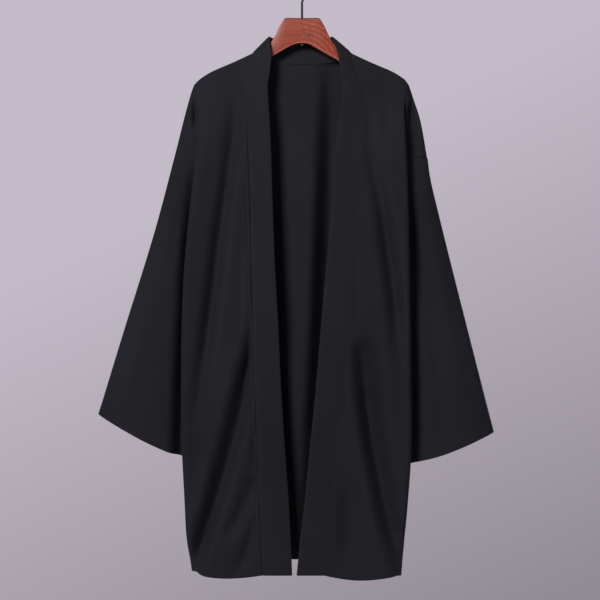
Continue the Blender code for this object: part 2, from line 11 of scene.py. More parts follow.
import bmesh
import bpy
import numpy as np
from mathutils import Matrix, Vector

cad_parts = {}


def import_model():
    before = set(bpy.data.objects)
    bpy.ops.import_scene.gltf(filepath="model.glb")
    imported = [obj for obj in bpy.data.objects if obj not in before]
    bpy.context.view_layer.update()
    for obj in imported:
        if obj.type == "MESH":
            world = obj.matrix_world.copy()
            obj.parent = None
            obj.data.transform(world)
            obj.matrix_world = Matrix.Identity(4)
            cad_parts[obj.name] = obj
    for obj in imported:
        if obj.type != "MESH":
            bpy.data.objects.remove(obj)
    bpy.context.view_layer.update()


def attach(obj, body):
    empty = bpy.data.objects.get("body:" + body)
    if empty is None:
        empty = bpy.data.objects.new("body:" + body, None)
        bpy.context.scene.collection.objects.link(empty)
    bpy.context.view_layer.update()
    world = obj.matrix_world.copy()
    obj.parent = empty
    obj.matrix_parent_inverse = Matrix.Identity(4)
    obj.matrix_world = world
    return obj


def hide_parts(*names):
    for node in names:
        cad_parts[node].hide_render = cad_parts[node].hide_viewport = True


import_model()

bl_info = {
    "name": "Haori Jacket",
    "version": (1, 0, 0),
    "blender": (4, 5, 0),
    "location": "View3D > Sidebar > Haori",
    "description": "Makes a haori jacket hanging on a wooden hanger",
    "category": "Object",
}

BODY = "root"
MM = 0.001
SIDES = ("left", "right")
FRONT, BACK = -1, 1


def table(columns, rows):
    """Names the columns of rows of numbers, or of each set of rows in a dictionary."""
    if isinstance(rows, dict):
        return {key: table(columns, part) for key, part in rows.items()}
    row = namedtuple("Row", columns)
    return [row(*values) for values in rows]


# ---------------------------------------------------------------- cloth sizes
# Heights are below the inside top of the hook; widths are from the middle.
NECK_POINT_X = 89 * MM
NECK_POINT_Z = -148 * MM
BACK_NECK_Z = -163.5 * MM
BACK_NECK_Y = 17 * MM
SHOULDER_END_X = 184 * MM
SHOULDER_END_Z = -195 * MM
SHOULDER_CROWN = 3 * MM
CROWN_LEAN = 2.5
NECK_FLATNESS = 4
ARM_WRAP = 9 * MM
WRAP_FLATNESS = 1.6
FRONT_HEM_Z = -1080 * MM
BACK_HEM_Z = -1059 * MM
BODY_DROP = 876 * MM
SETTLING_DROP = 60 * MM
BAND_SETTLING_DROP = 200 * MM
BACK_FOLD_SHARE = 0.97
BACK_DEPTH_SHARE = 0.92
TUCK_SPACE = 9 * MM
TUCK_SAG = 0.45
TUCK_RADIUS = 2.5 * MM
TUCK_CLOSING_DROP = 212 * MM
UNDERARM_DROP = 255 * MM
SEAM_START_DROP = 264 * MM
ARMHOLE_TOP_Z = -335 * MM
SHOULDER_TIP_Z = -205 * MM
SLEEVE_INNER_STEP = 4 * MM
ARMHOLE_DEPTH = 10 * MM
CUFF_DEPTH = 21 * MM
SLEEVE_END_RADIUS = 3.5 * MM
SLEEVE_CREST = 0.66
SLEEVE_BLEND = 1 / 9
SEAM_GAP = 0.06 * MM
WELD_DISTANCE = 0.01 * MM
POINTS_AT_ONCE = 1500

# The hem: how far it sags and how far its outer corner is drawn up.
Hem = namedtuple("Hem", "sag corner")
HEMS = {"right": Hem(5, 6), "left": Hem(8.5, 0)}
HEM_CORNER_LEAN = 12

# How flat the cloth still lies round the end of the hanger, by drop.
FLATS = table("drop share", [
    (0, 1), (22, 1), (40, 0.86), (62, 0.45), (92, 0.12), (127, 0),
])

# Widths of one side in millimetres: the neckband's free edge, its seam and the
# fold at the side.
WIDTHS = table("z edge seam fold", {
    "right": [
        (-148, 48, 89, 183), (-205, 61, 100, 184), (-270, 58, 99, 185), (-340, 55, 96, 189),
        (-410, 53, 93, 197), (-520, 49, 91, 208), (-630, 43, 88, 213), (-740, 38, 85, 214),
        (-850, 31, 80, 213), (-950, 24, 76, 208), (-1030, 20, 73, 203), (-1080, 18, 70, 195),
    ],
    "left": [
        (-148, 51, 89, 182), (-205, 70, 108, 183), (-270, 67, 108, 184), (-340, 59, 103, 187),
        (-410, 55, 99, 189), (-520, 45, 91, 191), (-630, 35, 82, 193), (-740, 26, 74, 194),
        (-850, 15, 63, 194), (-950, 5, 53, 188), (-1030, -4, 44, 182), (-1080, -9, 38, 176),
    ],
})

# Depths from the middle plane, the side fold's radius and the tuck's reach.
DEPTHS = table("z seam fold centre radius tuck", [
    (-148, 9, 9, 17, 1.5, 184), (-205, 18, 10, 22, 2.0, 180), (-225, 19, 14, 24, 2.4, 170),
    (-245, 20, 19, 26, 3.2, 160), (-270, 22, 24, 28, 4.2, 147), (-330, 25, 31, 31, 6.0, 120),
    (-410, 29, 38, 35, 7.0, 94), (-460, 31, 41, 37, 7.0, 80), (-540, 33, 44, 39, 7.5, 75),
    (-700, 37, 47, 42, 8.0, 76), (-1080, 42, 49, 46, 8.0, 86),
])

# The outer line of the dropped shoulder and the sleeve.
BRIMS = table("z x", {
    "right": [
        (-205, 194), (-222, 200), (-262, 211), (-322, 226), (-469, 265), (-653, 322), (-797, 366),
    ],
    "left": [
        (-205, 192), (-222, 198), (-268, 213), (-334, 225), (-372, 230.5), (-412, 239.5),
        (-559, 276), (-829, 345),
    ],
})

# The cuff's hidden inner end and how far its line bows down.
Cuff = namedtuple("Cuff", "inner_x inner_z bow")
CUFFS = {"right": Cuff(140, -898, 11), "left": Cuff(118, -894, 14)}

# The neckband's free edge round the neck, by distance along its seam: how far
# inward it lies on each side, its lift and its depth.
NECK = table("along right left lift y", [
    (0, 0, 0, 42, 16), (31, 11, 11, 42, 15.8), (62, 22, 22, 39, 14), (80, 27, 29, 35, 10),
    (95, 30, 35, 30, 0), (106, 31, 31, 26, -13), (120, 35, 28, 20, -18), (142, 38, 31, 10, -21),
    (170, 39, 36, 3, -23), (200, 39, 38, 0, -24),
])
HALF_NECK = NECK[4].along * MM

# Creases: a line from top to bottom over a middle point, its half width to
# the viewer's left and right of the line and its depth, in millimetres. A
# negative depth is a trough. The large folds come first.
CREASES = table("x0 z0 x1 z1 x2 z2 left right depth", {
    "front": [
        (-118, -230, -152, -530, -194, -830, 12, 13, -18),
        (-142, -400, -160, -560, -178, -720, 12, 13, -6),
        (-120, -330, -138, -560, -158, -760, 15, 15, 3),
        (-74, -590, -89, -680, -108, -770, 12, 9, -15),
        (-78, -640, -136, -895, -221, -1150, 21, 12, -30),
        (-106, -640, -164, -895, -248, -1150, 20, 16, 8),
        (-74, -885, -101, -955, -136, -1024, 17, 17, -11),
        (-98, -750, -142, -946, -188, -1120, 16, 16, 2),
        (123, -310, 156, -520, 175, -720, 13, 13, -15),
        (146, -420, 161, -530, 174, -660, 16, 13, -8),
        (150, -280, 158, -420, 178, -560, 14, 14, 3),
        (107, -650, 135, -885, 198, -1130, 15, 22, -31),
        (107, -662, 109, -700, 112, -745, 15, 17, -7),
        (146, -600, 150, -760, 162, -930, 15, 15, 4),
        (80, -680, 109, -890, 160, -1110, 22, 14, 9),
        (-114, -165, -117, -270, -126, -375, 26, 12, -7),
        (-84, -965, -94, -1015, -113, -1082, 12, 9, -9),
        (-84, -822, -86, -860, -89, -902, 6, 5, -4),
        (118, -230, 122, -325, 126, -420, 16, 10, -3),
        (-184, -830, -193, -930, -200, -1020, 10, 12, -3),
        (-170, -230, -172, -300, -178, -390, 7, 7, 1.6),
        (-104, -430, -108, -560, -118, -690, 8, 8, -1.4),
        (95, -500, 96, -575, 98, -650, 7, 3.5, -2.4),
        (80, -910, 79, -990, 76, -1070, 12, 9, -6),
        (173, -890, 176, -960, 178, -1035, 9, 9, -2.6),
        (126, -700, 138, -820, 158, -930, 8, 8, -1.4),
        (150, -230, 152, -310, 156, -400, 9, 9, -1.6),
        (172, -560, 178, -680, 182, -820, 8, 8, -1.6),
    ],
    "back": [
        (51, -130, 49, -495, 27, -860, 17, 24, 21),
        (26, -150, 2, -825, -26, -1500, 50, 16, -24),
        (-2, -620, -10, -980, -16, -1340, 42, 30, -17),
        (-26, -300, -34, -560, -30, -900, 20, 20, -4),
        (92, -250, 108, -480, 140, -720, 17, 17, -5),
        (118, -560, 96, -800, 104, -1070, 18, 18, 6),
        (-100, -260, -122, -520, -150, -780, 17, 17, -6),
        (-92, -640, -112, -850, -96, -1070, 17, 17, 6),
        (20, -820, 42, -930, 52, -1070, 18, 18, -6),
        (-60, -185, -66, -260, -78, -380, 12, 12, -2.2),
        (84, -185, 90, -280, 96, -400, 12, 12, -2.2),
        (0, -182, 2, -240, 6, -330, 14, 14, 1.6),
        (-150, -235, -152, -330, -160, -450, 9, 9, 2.0),
        (150, -235, 154, -330, 160, -450, 9, 9, 2.0),
        (-58, -480, -52, -700, -60, -960, 10, 10, 2.2),
        (80, -430, 70, -600, 76, -800, 10, 10, 2.2),
        (-150, -820, -140, -950, -132, -1070, 11, 11, -3.0),
        (150, -780, 146, -930, 138, -1070, 11, 11, -3.0),
        (-6, -900, 0, -980, 4, -1072, 10, 10, 2.4),
    ],
    "sleeve": [
        (186, -400, 228, -620, 250, -865, 14, 20, -8),
        (232, -470, 270, -650, 300, -840, 18, 18, 4),
        (-246, -500, -292, -660, -322, -815, 18, 18, 4),
        (206, -380, 222, -460, 240, -560, 8, 8, -1.8),
        (214, -600, 232, -720, 246, -860, 8, 8, 1.6),
        (262, -680, 282, -760, 300, -840, 9, 9, -2.0),
        (300, -700, 314, -770, 326, -830, 8, 8, 1.4),
        (-210, -370, -230, -460, -252, -580, 8, 8, -1.8),
        (-272, -640, -294, -730, -312, -815, 9, 9, -2.2),
        (-310, -660, -330, -730, -346, -795, 8, 8, 1.4),
    ],
    "sway": [
        (-190, -300, -212, -650, -226, -1090, 12, 26, -36),
        (194, -300, 197, -640, 199, -1000, 12, 20, -15),
    ],
    "shoulder": [
        (192, -190, 197, -280, 201, -370, 7, 10, -15),
        (-188, -200, -190, -245, -193, -290, 6, 6, -12),
    ],
})
CREASE_FADE = 0.25
BACK_SWAY = 0.5

# The neckband's seam holds the creases of the front back beside it.
SEAM_HOLD = 0.15
SEAM_HOLD_WIDTH = 9 * MM

# Puckers along the neckband's seams: where they lie down the front, how many
# there are, how far they reach from the seam and their height.
PUCKERS = table("top bottom count reach height", {
    "right": [(-690, -900, 13, 9, 0.9), (-230, -420, 8, 7, 0.45)],
    "left": [(-470, -640, 9, 7, 0.5), (-770, -960, 9, 7, 0.35)],
})

PUCKER_BAND_SHARE = 0.4
PUCKER_WANDER = 0.18
PUCKER_WANDERS = 9
PUCKER_SLANT = 0.01 / MM

# Slow unevenness, in millimetres: the width of a wave, how far it sways over
# which height, and its depth.
UNEVENNESS = table("width sway tall depth", [
    (61, 0.35, 90, 0.35), (37, 0.5, 61, 0.2), (23, 0.3, 43, 0.1),
])

# How close the rows of points lie, in millimetres below the shoulder line.
BODY_ROWS = table("start end step", [
    (0, 1, 0.5), (1, 4, 1), (4, 10, 2), (10, 22, 3), (22, 212, 3.8), (212, 255, 3.9),
    (255, 264, 2.25), (264, 850, 3.6), (850, 862, 1), (862, 876, 2),
])
SLEEVE_ROWS = table("start end step", [
    (0, 8, 2), (8, 540, 4), (540, 552, 1), (552, 564, 2),
])
FRONT_COLUMNS = 30
FRONT_BUNCHING = 1.35
NECK_COLUMNS = 24
BAND_COLUMNS = 12
FOLD_COLUMNS = 10
TUCK_COLUMNS = 22
TURN_COLUMNS = 6
DROP_COLUMNS = 54
OUTER_BUNCHING = 0.55

# Seams and hems: where each shows, how wide it is and how clear.
SEAM_HALF = 1.6 * MM
ALLOWANCE_MIDDLE = 5 * MM
ALLOWANCE_HALF = 3 * MM
PRESSED_LINE = 8 * MM
SEAM_LINE_HALF = 1.0 * MM
PRESSED_LINE_HALF = 1.3 * MM
PRESSED_TOP = (0.33, 0.42)
PRESSED_BOTTOM = (1.0, 0.86)
FAINT_SEAM = 0.08
BACK_SEAM = 0.9
NECK_SEAM_TOP = (0.2, 0.25)
ARMHOLE_FROM_X = 150 * MM
BACK_LINE_HALF = 30 * MM
LIP = 1.8 * MM
SEWN_EDGE_DEGREES = 75
LIP_WALL = 0.4 * MM
LIP_LEAST = 0.4
RIM = 0.35
SEAM_TURN = 6 * MM
HEM_OUT, HEM_GROOVE, HEM_IN = 0.45, 0.5, 0.8
HEM_SOFTNESS = 0.5 * MM
HEM_LINE = 1.5 * MM
HEM_LINE_HALF = 1.1 * MM
BAND_LOFT = 0.5 * MM
BAND_LOFT_REACH = 9 * MM
BAND_LOFT_START = 2 * MM
BAND_FLUSH_REACH = 8 * MM
BAND_INNER_START = 4

# Stitches: how deep each part of a stitch sinks and how it tapers.
STITCH_SIDES = 6
STITCH_SINK = [1.1, 0.1, 1.1]
STITCH_TAPER = [0.6, 1.0, 0.6]

# --------------------------------------------------------------- hanger sizes
WIRE_RADIUS = 2.0 * MM
BORE_RADIUS = 2.3 * MM
HOOK_INNER_RADIUS = 20 * MM
NUT_RADIUS = 3.4 * MM
WIRE_SIDES = 20
STEM_BELOW_CURL = 14 * MM
STEM_BEND = 11 * MM
STEM_SWAY = 3 * MM
STEM_STEPS = 14
CURL_START_DEGREES = -40
CURL_END_DEGREES = 205
CURL_STEPS = 56
BOARD_ROUNDING = 0.5
BOARD_CORNER_STEPS = 7
BORE_SIDES = 32
BORE_LENGTH = 60 * MM
STEM_STRAIGHT_STEPS = 5
SHARP_DEGREES = 50
NUT_SHARP_DEGREES = 25
NUT_SIDES = 6

# The wire's tip: how far each ring lies forward and how wide it is, by radius.
WIRE_TIP = [(0.0, 1.0), (0.4, 0.92), (0.75, 0.66), (0.95, 0.3)]
# The nut: how far each ring lies below its top and how wide it is.
NUT_RINGS = [(0.0, 0.82), (0.308, 0.97), (1.892, 0.97), (2.2, 0.82), (2.2, 0.4), (2.5, 0.3)]
# How many steps the board's sections take up to each distance from the middle.
BOARD_STEPS = [(29, 8), (60, 23), (178, 39), (189, 8)]

# The board, in millimetres: its upper and lower edges and half its thickness
# at each distance from the middle.
BOARD = table("x top bottom half", [
    (0, -85, -131.5, 7.5), (6, -85, -131.5, 7.5), (16, -85, -134, 7.5), (29, -85, -140.5, 7.5),
    (33, -87.5, -143, 7.5), (41, -101, -147.5, 7.5), (47, -114, -151, 7.3), (56, -129, -156, 7.0),
    (70, -143, -164, 6.5), (89, -153.5, -174, 6.3), (110, -162, -185, 6.2),
    (135, -173.5, -198, 6.0), (160, -185.5, -209, 5.8), (178, -197, -218, 5.4),
    (185, -204.5, -219, 4.5), (189, -209, -216, 2.5),
])

# ----------------------------------------------------------- wood and stage
ARCS_DROP = 172 * MM
FLOOR_COLOURS = [(0.3, (0.56, 0.55, 0.59)), (0.7, (0.60, 0.59, 0.63))]

# The lights: where each stands and its size, in metres.
LIGHTS = {"key": ((-1.16, -2.66, 0.95), 0.85), "fill": ((1.6, -2.6, -0.2), 2.0),
          "back": ((1.5, 2.6, -0.95), 0.9)}
LIGHTS_AIM = (0, 0, -0.55)
SENSOR_WIDTH = 36

# The surround's painted light as the camera sees it: which way it grows lighter, and its tone low
# and high.
SURROUND_LEAN = (-0.45, 0.0, 1.0)
SURROUND_TONES = [(0.24, 0.66), (0.6, 1.28)]


def circle(count):
    """The angles of evenly spaced points round a circle."""
    return 2 * math.pi * np.arange(count) / count


def add_object(name, data):
    item = bpy.data.objects.new(name, data)
    bpy.context.scene.collection.objects.link(item)
    return item


# ------------------------------------------------------------- cloth geometry
def lerp(a, b, share):
    return a + (b - a) * share


def ramp(value, start, end):
    """0 up to a start and 1 past an end."""
    return np.clip((value - start) / (end - start), 0, 1)


def table_value(rows, key, column, at):
    """A smooth curve through one column of a table, at values of its key."""
    keys = np.array([getattr(row, key) for row in rows], float)
    values = np.array([getattr(row, column) for row in rows], float)
    if keys[0] > keys[-1]:
        keys, values = keys[::-1], values[::-1]
    at = np.clip(np.asarray(at, float), keys[0], keys[-1])
    i = np.clip(np.searchsorted(keys, at) - 1, 0, len(keys) - 2)
    low = np.maximum(np.arange(len(keys)) - 1, 0)
    high = np.minimum(np.arange(len(keys)) + 1, len(keys) - 1)
    slopes = (values[high] - values[low]) / (keys[high] - keys[low])
    span = keys[i + 1] - keys[i]
    t = (at - keys[i]) / span
    rise = values[i + 1] - values[i]
    a = slopes[i] * span - rise
    b = rise - slopes[i + 1] * span
    return lerp(values[i], values[i + 1], t) + t * (1 - t) * (a * (1 - t) + b * t)


def width(side, column, z):
    return table_value(WIDTHS[side], "z", column, z / MM) * MM


def depth(column, z):
    return table_value(DEPTHS, "z", column, z / MM) * MM


def brim(side, z):
    return table_value(BRIMS[side], "z", "x", z / MM) * MM


def crease_relief(piece, side, x, z):
    """How far the creases lift the cloth, and its slow unevenness between them."""
    x = sign_of(side) * x
    total = np.zeros(np.broadcast(x, z).shape)
    for crease in CREASES[piece]:
        t = (crease.z0 * MM - z) / ((crease.z0 - crease.z2) * MM)
        bend = 2 * crease.x1 - (crease.x0 + crease.x2) / 2
        middle = (1 - t) ** 2 * crease.x0 + 2 * t * (1 - t) * bend + t * t * crease.x2
        across = x / MM - middle
        across = across / np.where(across < 0, crease.left, crease.right)
        fade = ramp(t, 0, CREASE_FADE) * ramp(1 - t, 0, CREASE_FADE)
        total += crease.depth * MM * fade * np.exp(-across * across)
    for wave in UNEVENNESS:
        phase = x / (wave.width * MM) + wave.sway * np.sin(z / (wave.tall * MM))
        swell = np.cos(2 * math.pi * z / (5 * wave.tall * MM))
        total += wave.depth * MM * np.sin(2 * math.pi * phase) * swell
    return total


def top_height(x):
    """The shoulder line, or the back neck's seam inside the neck points."""
    x = np.abs(x)
    neck = lerp(BACK_NECK_Z, NECK_POINT_Z, (x / NECK_POINT_X) ** NECK_FLATNESS)
    share = (x - NECK_POINT_X) / (SHOULDER_END_X - NECK_POINT_X)
    crown = SHOULDER_CROWN * np.sin(math.pi * np.clip(share, 0, 1) ** CROWN_LEAN)
    shoulder = lerp(NECK_POINT_Z, SHOULDER_END_Z, share) + crown
    return np.where(x < NECK_POINT_X, neck, shoulder)


def top_depth(x):
    """How far behind the middle plane the cloth's top edge lies."""
    share = np.clip(np.abs(x) / NECK_POINT_X, 0, 1)
    return BACK_NECK_Y * np.sqrt(1 - share ** 4)


def front_hem(side, share):
    """The height of the front's hem: it sags, and its corner is drawn up."""
    hem = HEMS[side]
    sag = hem.sag * np.sin(math.pi * share) - hem.corner * share ** HEM_CORNER_LEAN
    return FRONT_HEM_Z - sag * MM


def sign_of(side):
    return 1 if side == "left" else -1


def open_cloth(side, face, share, drop, puckers=1):
    """Points of the front or the back between its inner end and the side fold."""
    inner_top = NECK_POINT_X if face == FRONT else 0.0
    top_x = lerp(inner_top, SHOULDER_END_X, share)
    top_z = top_height(top_x)
    hem_z = front_hem(side, share)
    if face == BACK:
        hem_z = lerp(BACK_HEM_Z, front_hem(side, 1.0), share ** 2)
    z = top_z + (hem_z - top_z) * drop / BODY_DROP
    radius = depth("radius", z)
    fold_x, fold_y = width(side, "fold", z), depth("fold", z)
    if face == FRONT:
        x = lerp(width(side, "seam", z), fold_x - radius, share)
        deep = lerp(depth("seam", z), fold_y, share)
        edge_deep = 0.0
    else:
        x = (fold_x * BACK_FOLD_SHARE - radius) * share
        deep = lerp(depth("centre", z), fold_y * BACK_DEPTH_SHARE, share * share)
        edge_deep = top_depth(top_x)
    x = lerp(top_x, x, ramp(drop, 0, SETTLING_DROP))
    wrap = np.sqrt(1 - ramp(drop, ARM_WRAP, 0) ** 2)
    y = edge_deep + (deep - edge_deep) * wrap
    relief = crease_relief("front" if face == FRONT else "back", side, x, z)
    if face == FRONT:
        from_seam = x - width(side, "seam", z)
        relief = relief * lerp(SEAM_HOLD, 1, ramp(from_seam, 0, SEAM_HOLD_WIDTH))
        relief = relief + puckers * pucker_relief(side, from_seam, z)
    return x, y + relief * wrap, z


def pucker_relief(side, from_seam, z):
    """The small ripples that the neckband's seam draws into the cloth."""
    total = 0.0
    for pucker in PUCKERS[side]:
        along = (z / MM - pucker.top) / (pucker.bottom - pucker.top)
        fade = np.clip(4 * along * (1 - along), 0, 1)
        reach = np.where(from_seam < 0, PUCKER_BAND_SHARE, 1.0) * pucker.reach
        near = np.exp(-(from_seam / MM / reach) ** 2)
        wobble = along * pucker.count + PUCKER_WANDER * np.sin(PUCKER_WANDERS * along)
        wobble = wobble + PUCKER_SLANT * from_seam
        total = total + pucker.height * MM * fade * near * np.sin(2 * math.pi * wobble)
    return total


def tuck_place(drop, z):
    """The tuck's inmost line: distance from the middle, depth and radius."""
    closing = ramp(drop, TUCK_CLOSING_DROP, UNDERARM_DROP)
    closed = ramp(drop, UNDERARM_DROP, SEAM_START_DROP)
    open_y = TUCK_SPACE - TUCK_RADIUS
    y = lerp(lerp(open_y, TUCK_SPACE / 2, closing), 0.0, closed)
    radius = lerp(lerp(TUCK_RADIUS, TUCK_SPACE / 2, closing), TUCK_SPACE, closed)
    return depth("tuck", z) - 2 * TUCK_RADIUS * closed, y, radius


def folded_cloth(side, face, drop):
    """Rows from the side fold in to the tuck's inmost line."""
    x, start_y, z = open_cloth(side, face, 1.0, drop)
    radius = depth("radius", z)
    tuck_x, tuck_y, tuck_radius = tuck_place(drop, z)
    turn = math.pi * np.arange(1, FOLD_COLUMNS + 1) / FOLD_COLUMNS
    fold = (x + radius * np.sin(turn), start_y - radius + radius * np.cos(turn))
    share = np.arange(1, TUCK_COLUMNS + 1) / TUCK_COLUMNS
    run = (lerp(x, tuck_x + tuck_radius, share),
           lerp(start_y - 2 * radius, tuck_y + tuck_radius, share ** TUCK_SAG))
    turn = math.pi / 2 * np.arange(1, TURN_COLUMNS + 1) / TURN_COLUMNS
    end = (tuck_x + tuck_radius - tuck_radius * np.sin(turn),
           tuck_y + tuck_radius * np.cos(turn))
    xs = np.hstack([fold[0], run[0], end[0]])
    ys = np.hstack([fold[1], run[1], end[1]])
    return xs, ys, np.broadcast_to(z, xs.shape)


def bulge(share):
    """The half depth of the flattened sleeve across its width, from 0 to 1."""
    rise = np.sin(math.pi / 2 * np.minimum(share / SLEEVE_CREST, 1))
    past = ramp(share, SLEEVE_CREST, 1)
    return np.where(share < SLEEVE_CREST, rise, np.sqrt(1 - past ** 2))


def across_shares(count):
    """Shares of a width from 0 to 1, drawn together towards the outer line."""
    share = np.arange(1, count + 1) / count
    return lerp(share, np.sin(math.pi / 2 * share), OUTER_BUNCHING)


def shoulder_line(side, drop):
    """Where a row of the dropped shoulder meets the outer line."""
    z = lerp(SHOULDER_TIP_Z, ARMHOLE_TOP_Z, drop / UNDERARM_DROP)
    return brim(side, z), z


def dropped_shoulder(side, face, drop):
    """Rows from the tuck out to the outer line."""
    z = open_cloth(side, face, 1.0, drop)[2]
    tuck_x, tuck_y, tuck_radius = tuck_place(drop, z)
    end_x, end_z = shoulder_line(side, drop)
    share = across_shares(DROP_COLUMNS)
    start = np.maximum(tuck_y - tuck_radius, SLEEVE_END_RADIUS / 2)
    x = lerp(tuck_x, end_x, share)
    y = bulge(share) * ARMHOLE_DEPTH + start * (1 - share) ** 2
    z = lerp(end_z, z, (1 - share) ** 2)
    back = crease_relief("shoulder", side, x, z) * bulge(share)
    return x, y - face * back * (BACK_SWAY if face == BACK else 1), z


def outer_rows(side, face, drop, with_shoulder):
    """Rows from the side fold on: in to the tuck, and out again as the shoulder."""
    parts = [folded_cloth(side, face, drop)]
    if not with_shoulder:
        return parts[0]
    parts.append(dropped_shoulder(side, face, drop))
    folded = [np.hstack(values) for values in zip(*parts)]
    x, start_y, z = open_cloth(side, face, 1.0, drop)
    end_x, end_z = shoulder_line(side, drop)
    count = folded[0].shape[1]
    share = np.arange(1, count + 1) / count
    flat = (lerp(x, end_x, share),
            start_y * (1 - share ** WRAP_FLATNESS) ** (1 / WRAP_FLATNESS),
            lerp(z, end_z, share))
    lie = np.interp(drop / MM, [row.drop for row in FLATS], [row.share for row in FLATS])
    return [lerp(a, b, lie) for a, b in zip(folded, flat)]


def distances(places, axis=0):
    """How far each place lies along its line from the line's start."""
    steps = np.linalg.norm(np.diff(places, axis=axis), axis=-1)
    return np.insert(np.cumsum(steps, axis=axis), 0, 0, axis=axis)


def world(side, face, places):
    """Mirrors places worked out for one side and face into the object's frame."""
    x, y, z = np.broadcast_arrays(*places)
    return np.stack([x * sign_of(side), y * face, z], -1)


def row_values(rows):
    """The distances of a set of rows, in metres."""
    values = [rows[0].start]
    for part in rows:
        count = round((part.end - part.start) / part.step)
        values += list(np.linspace(part.start, part.end, count + 1)[1:])
    return np.array(values)[:, None] * MM


def neck_shares():
    """The back neck's columns as shares of the way to the neck point."""
    return np.sin(math.pi / 2 * np.linspace(0, 1, NECK_COLUMNS + 1)[:-1])


def body_rows(side, face):
    """All rows of one front, or one half of the back, from its inner end."""
    drops = row_values(BODY_ROWS)
    shares = np.linspace(0, 1, FRONT_COLUMNS + 1) ** FRONT_BUNCHING
    if face == BACK:
        neck = NECK_POINT_X / SHOULDER_END_X
        shares = np.concatenate([neck * neck_shares(), lerp(neck, 1, shares)])
    near = np.stack(np.broadcast_arrays(*open_cloth(side, face, shares[None, :], drops)), -1)
    upper = drops[:, 0] <= UNDERARM_DROP + WELD_DISTANCE
    folded = np.stack(outer_rows(side, face, drops, False), -1)
    shoulder = np.stack(outer_rows(side, face, drops[upper], True), -1)
    folded[upper] = shoulder[:, :folded.shape[1]]
    panel = np.concatenate([near, folded], axis=1)
    return panel, shoulder[:, folded.shape[1] - 1:]


def sleeve_half(side, face):
    """The rows of half the sleeve, from its inner end out to the outer line."""
    down = row_values(SLEEVE_ROWS) / (SLEEVE_ROWS[-1].end * MM)
    top_z = open_cloth(side, FRONT, 1.0, UNDERARM_DROP)[2]
    tuck_x = tuck_place(UNDERARM_DROP, top_z)[0]
    cuff = CUFFS[side]
    end_z = lerp(ARMHOLE_TOP_Z, BRIMS[side][-1].z * MM, down)
    end_x = brim(side, end_z)
    inner_x = lerp(tuck_x + SLEEVE_INNER_STEP, cuff.inner_x * MM, down)
    inner_z = lerp(top_z, cuff.inner_z * MM, down)
    share = np.concatenate([[0], across_shares(DROP_COLUMNS)])
    x = lerp(inner_x, end_x, share)
    z = lerp(end_z, inner_z, lerp((1 - share) ** 2, 1 - share, down))
    z = z - cuff.bow * MM * down * np.sin(math.pi * share)
    y = lerp(ARMHOLE_DEPTH, CUFF_DEPTH, down) * bulge(share)
    y = y + SLEEVE_END_RADIUS * (1 - share) ** 4
    loose = (1 - share) * share * 4
    y = y + crease_relief("sleeve", side, x, z) * loose
    y = y - face * crease_relief("sway", side, x, z) * loose
    x, y, z = (np.array(value) for value in np.broadcast_arrays(x, y, z))
    seam = dropped_shoulder(side, face, np.array([[UNDERARM_DROP]]))
    for values, top in zip((x, y, z), seam):
        values[:, 1:] += (top - values[0, 1:]) * ramp(down, SLEEVE_BLEND, 0)
    return world(side, face, (x, y, z))


def sleeve_rings(side):
    """The sleeve's rings, from the armhole down to the cuff."""
    front, back = sleeve_half(side, FRONT), sleeve_half(side, BACK)
    inner = front[:, :1]
    middle = inner * [1, 0, 1] - [sign_of(side) * SLEEVE_END_RADIUS / 2, 0, 0]
    return np.concatenate([front, back[:, -2::-1], middle, inner], axis=1)


def neck_edge(side, face, seam, along):
    """The neckband's free edge across from places on its seam."""
    x, y, z = seam
    reach, lift, deep = (table_value(NECK, "along", column, along / MM) * MM
                         for column in (side, "lift", "y"))
    if face == FRONT:
        full = getattr(NECK[-1], side) * MM
        reach = reach * (width(side, "seam", z) - width(side, "edge", z)) / full
        start = NECK[-1].along * MM
        past = ramp(along, start, start + BAND_SETTLING_DROP)
        deep = lerp(-deep, y, past)
    return x - reach, deep, z + lift


def band_part(side, face, seam, along):
    """The neckband's stations over one stretch of its seam."""
    seam = [np.ravel(value) for value in np.broadcast_arrays(*seam)]
    edge = neck_edge(side, face, seam, along)
    share = np.linspace(0, 1, BAND_COLUMNS + 1)[None, :]
    x, y, z = [lerp(a[:, None], b[:, None], share) for a, b in zip(seam, edge)]
    if face == FRONT:
        y = y + pucker_relief(side, x - seam[0][:, None], z)
    return world(side, face, (x, y, z))


def band_side(side):
    """The neckband's stations from the middle of the back to the front hem."""
    shares = neck_shares()
    neck = NECK_POINT_X / SHOULDER_END_X
    seam = open_cloth(side, BACK, neck * shares[:, None], np.zeros((1, 1)))
    back = band_part(side, BACK, seam, HALF_NECK * shares)
    seam = open_cloth(side, FRONT, 0.0, row_values(BODY_ROWS), puckers=0)
    along = HALF_NECK + NECK_POINT_Z - np.ravel(seam[2])
    return np.concatenate([back, band_part(side, FRONT, seam, along)])


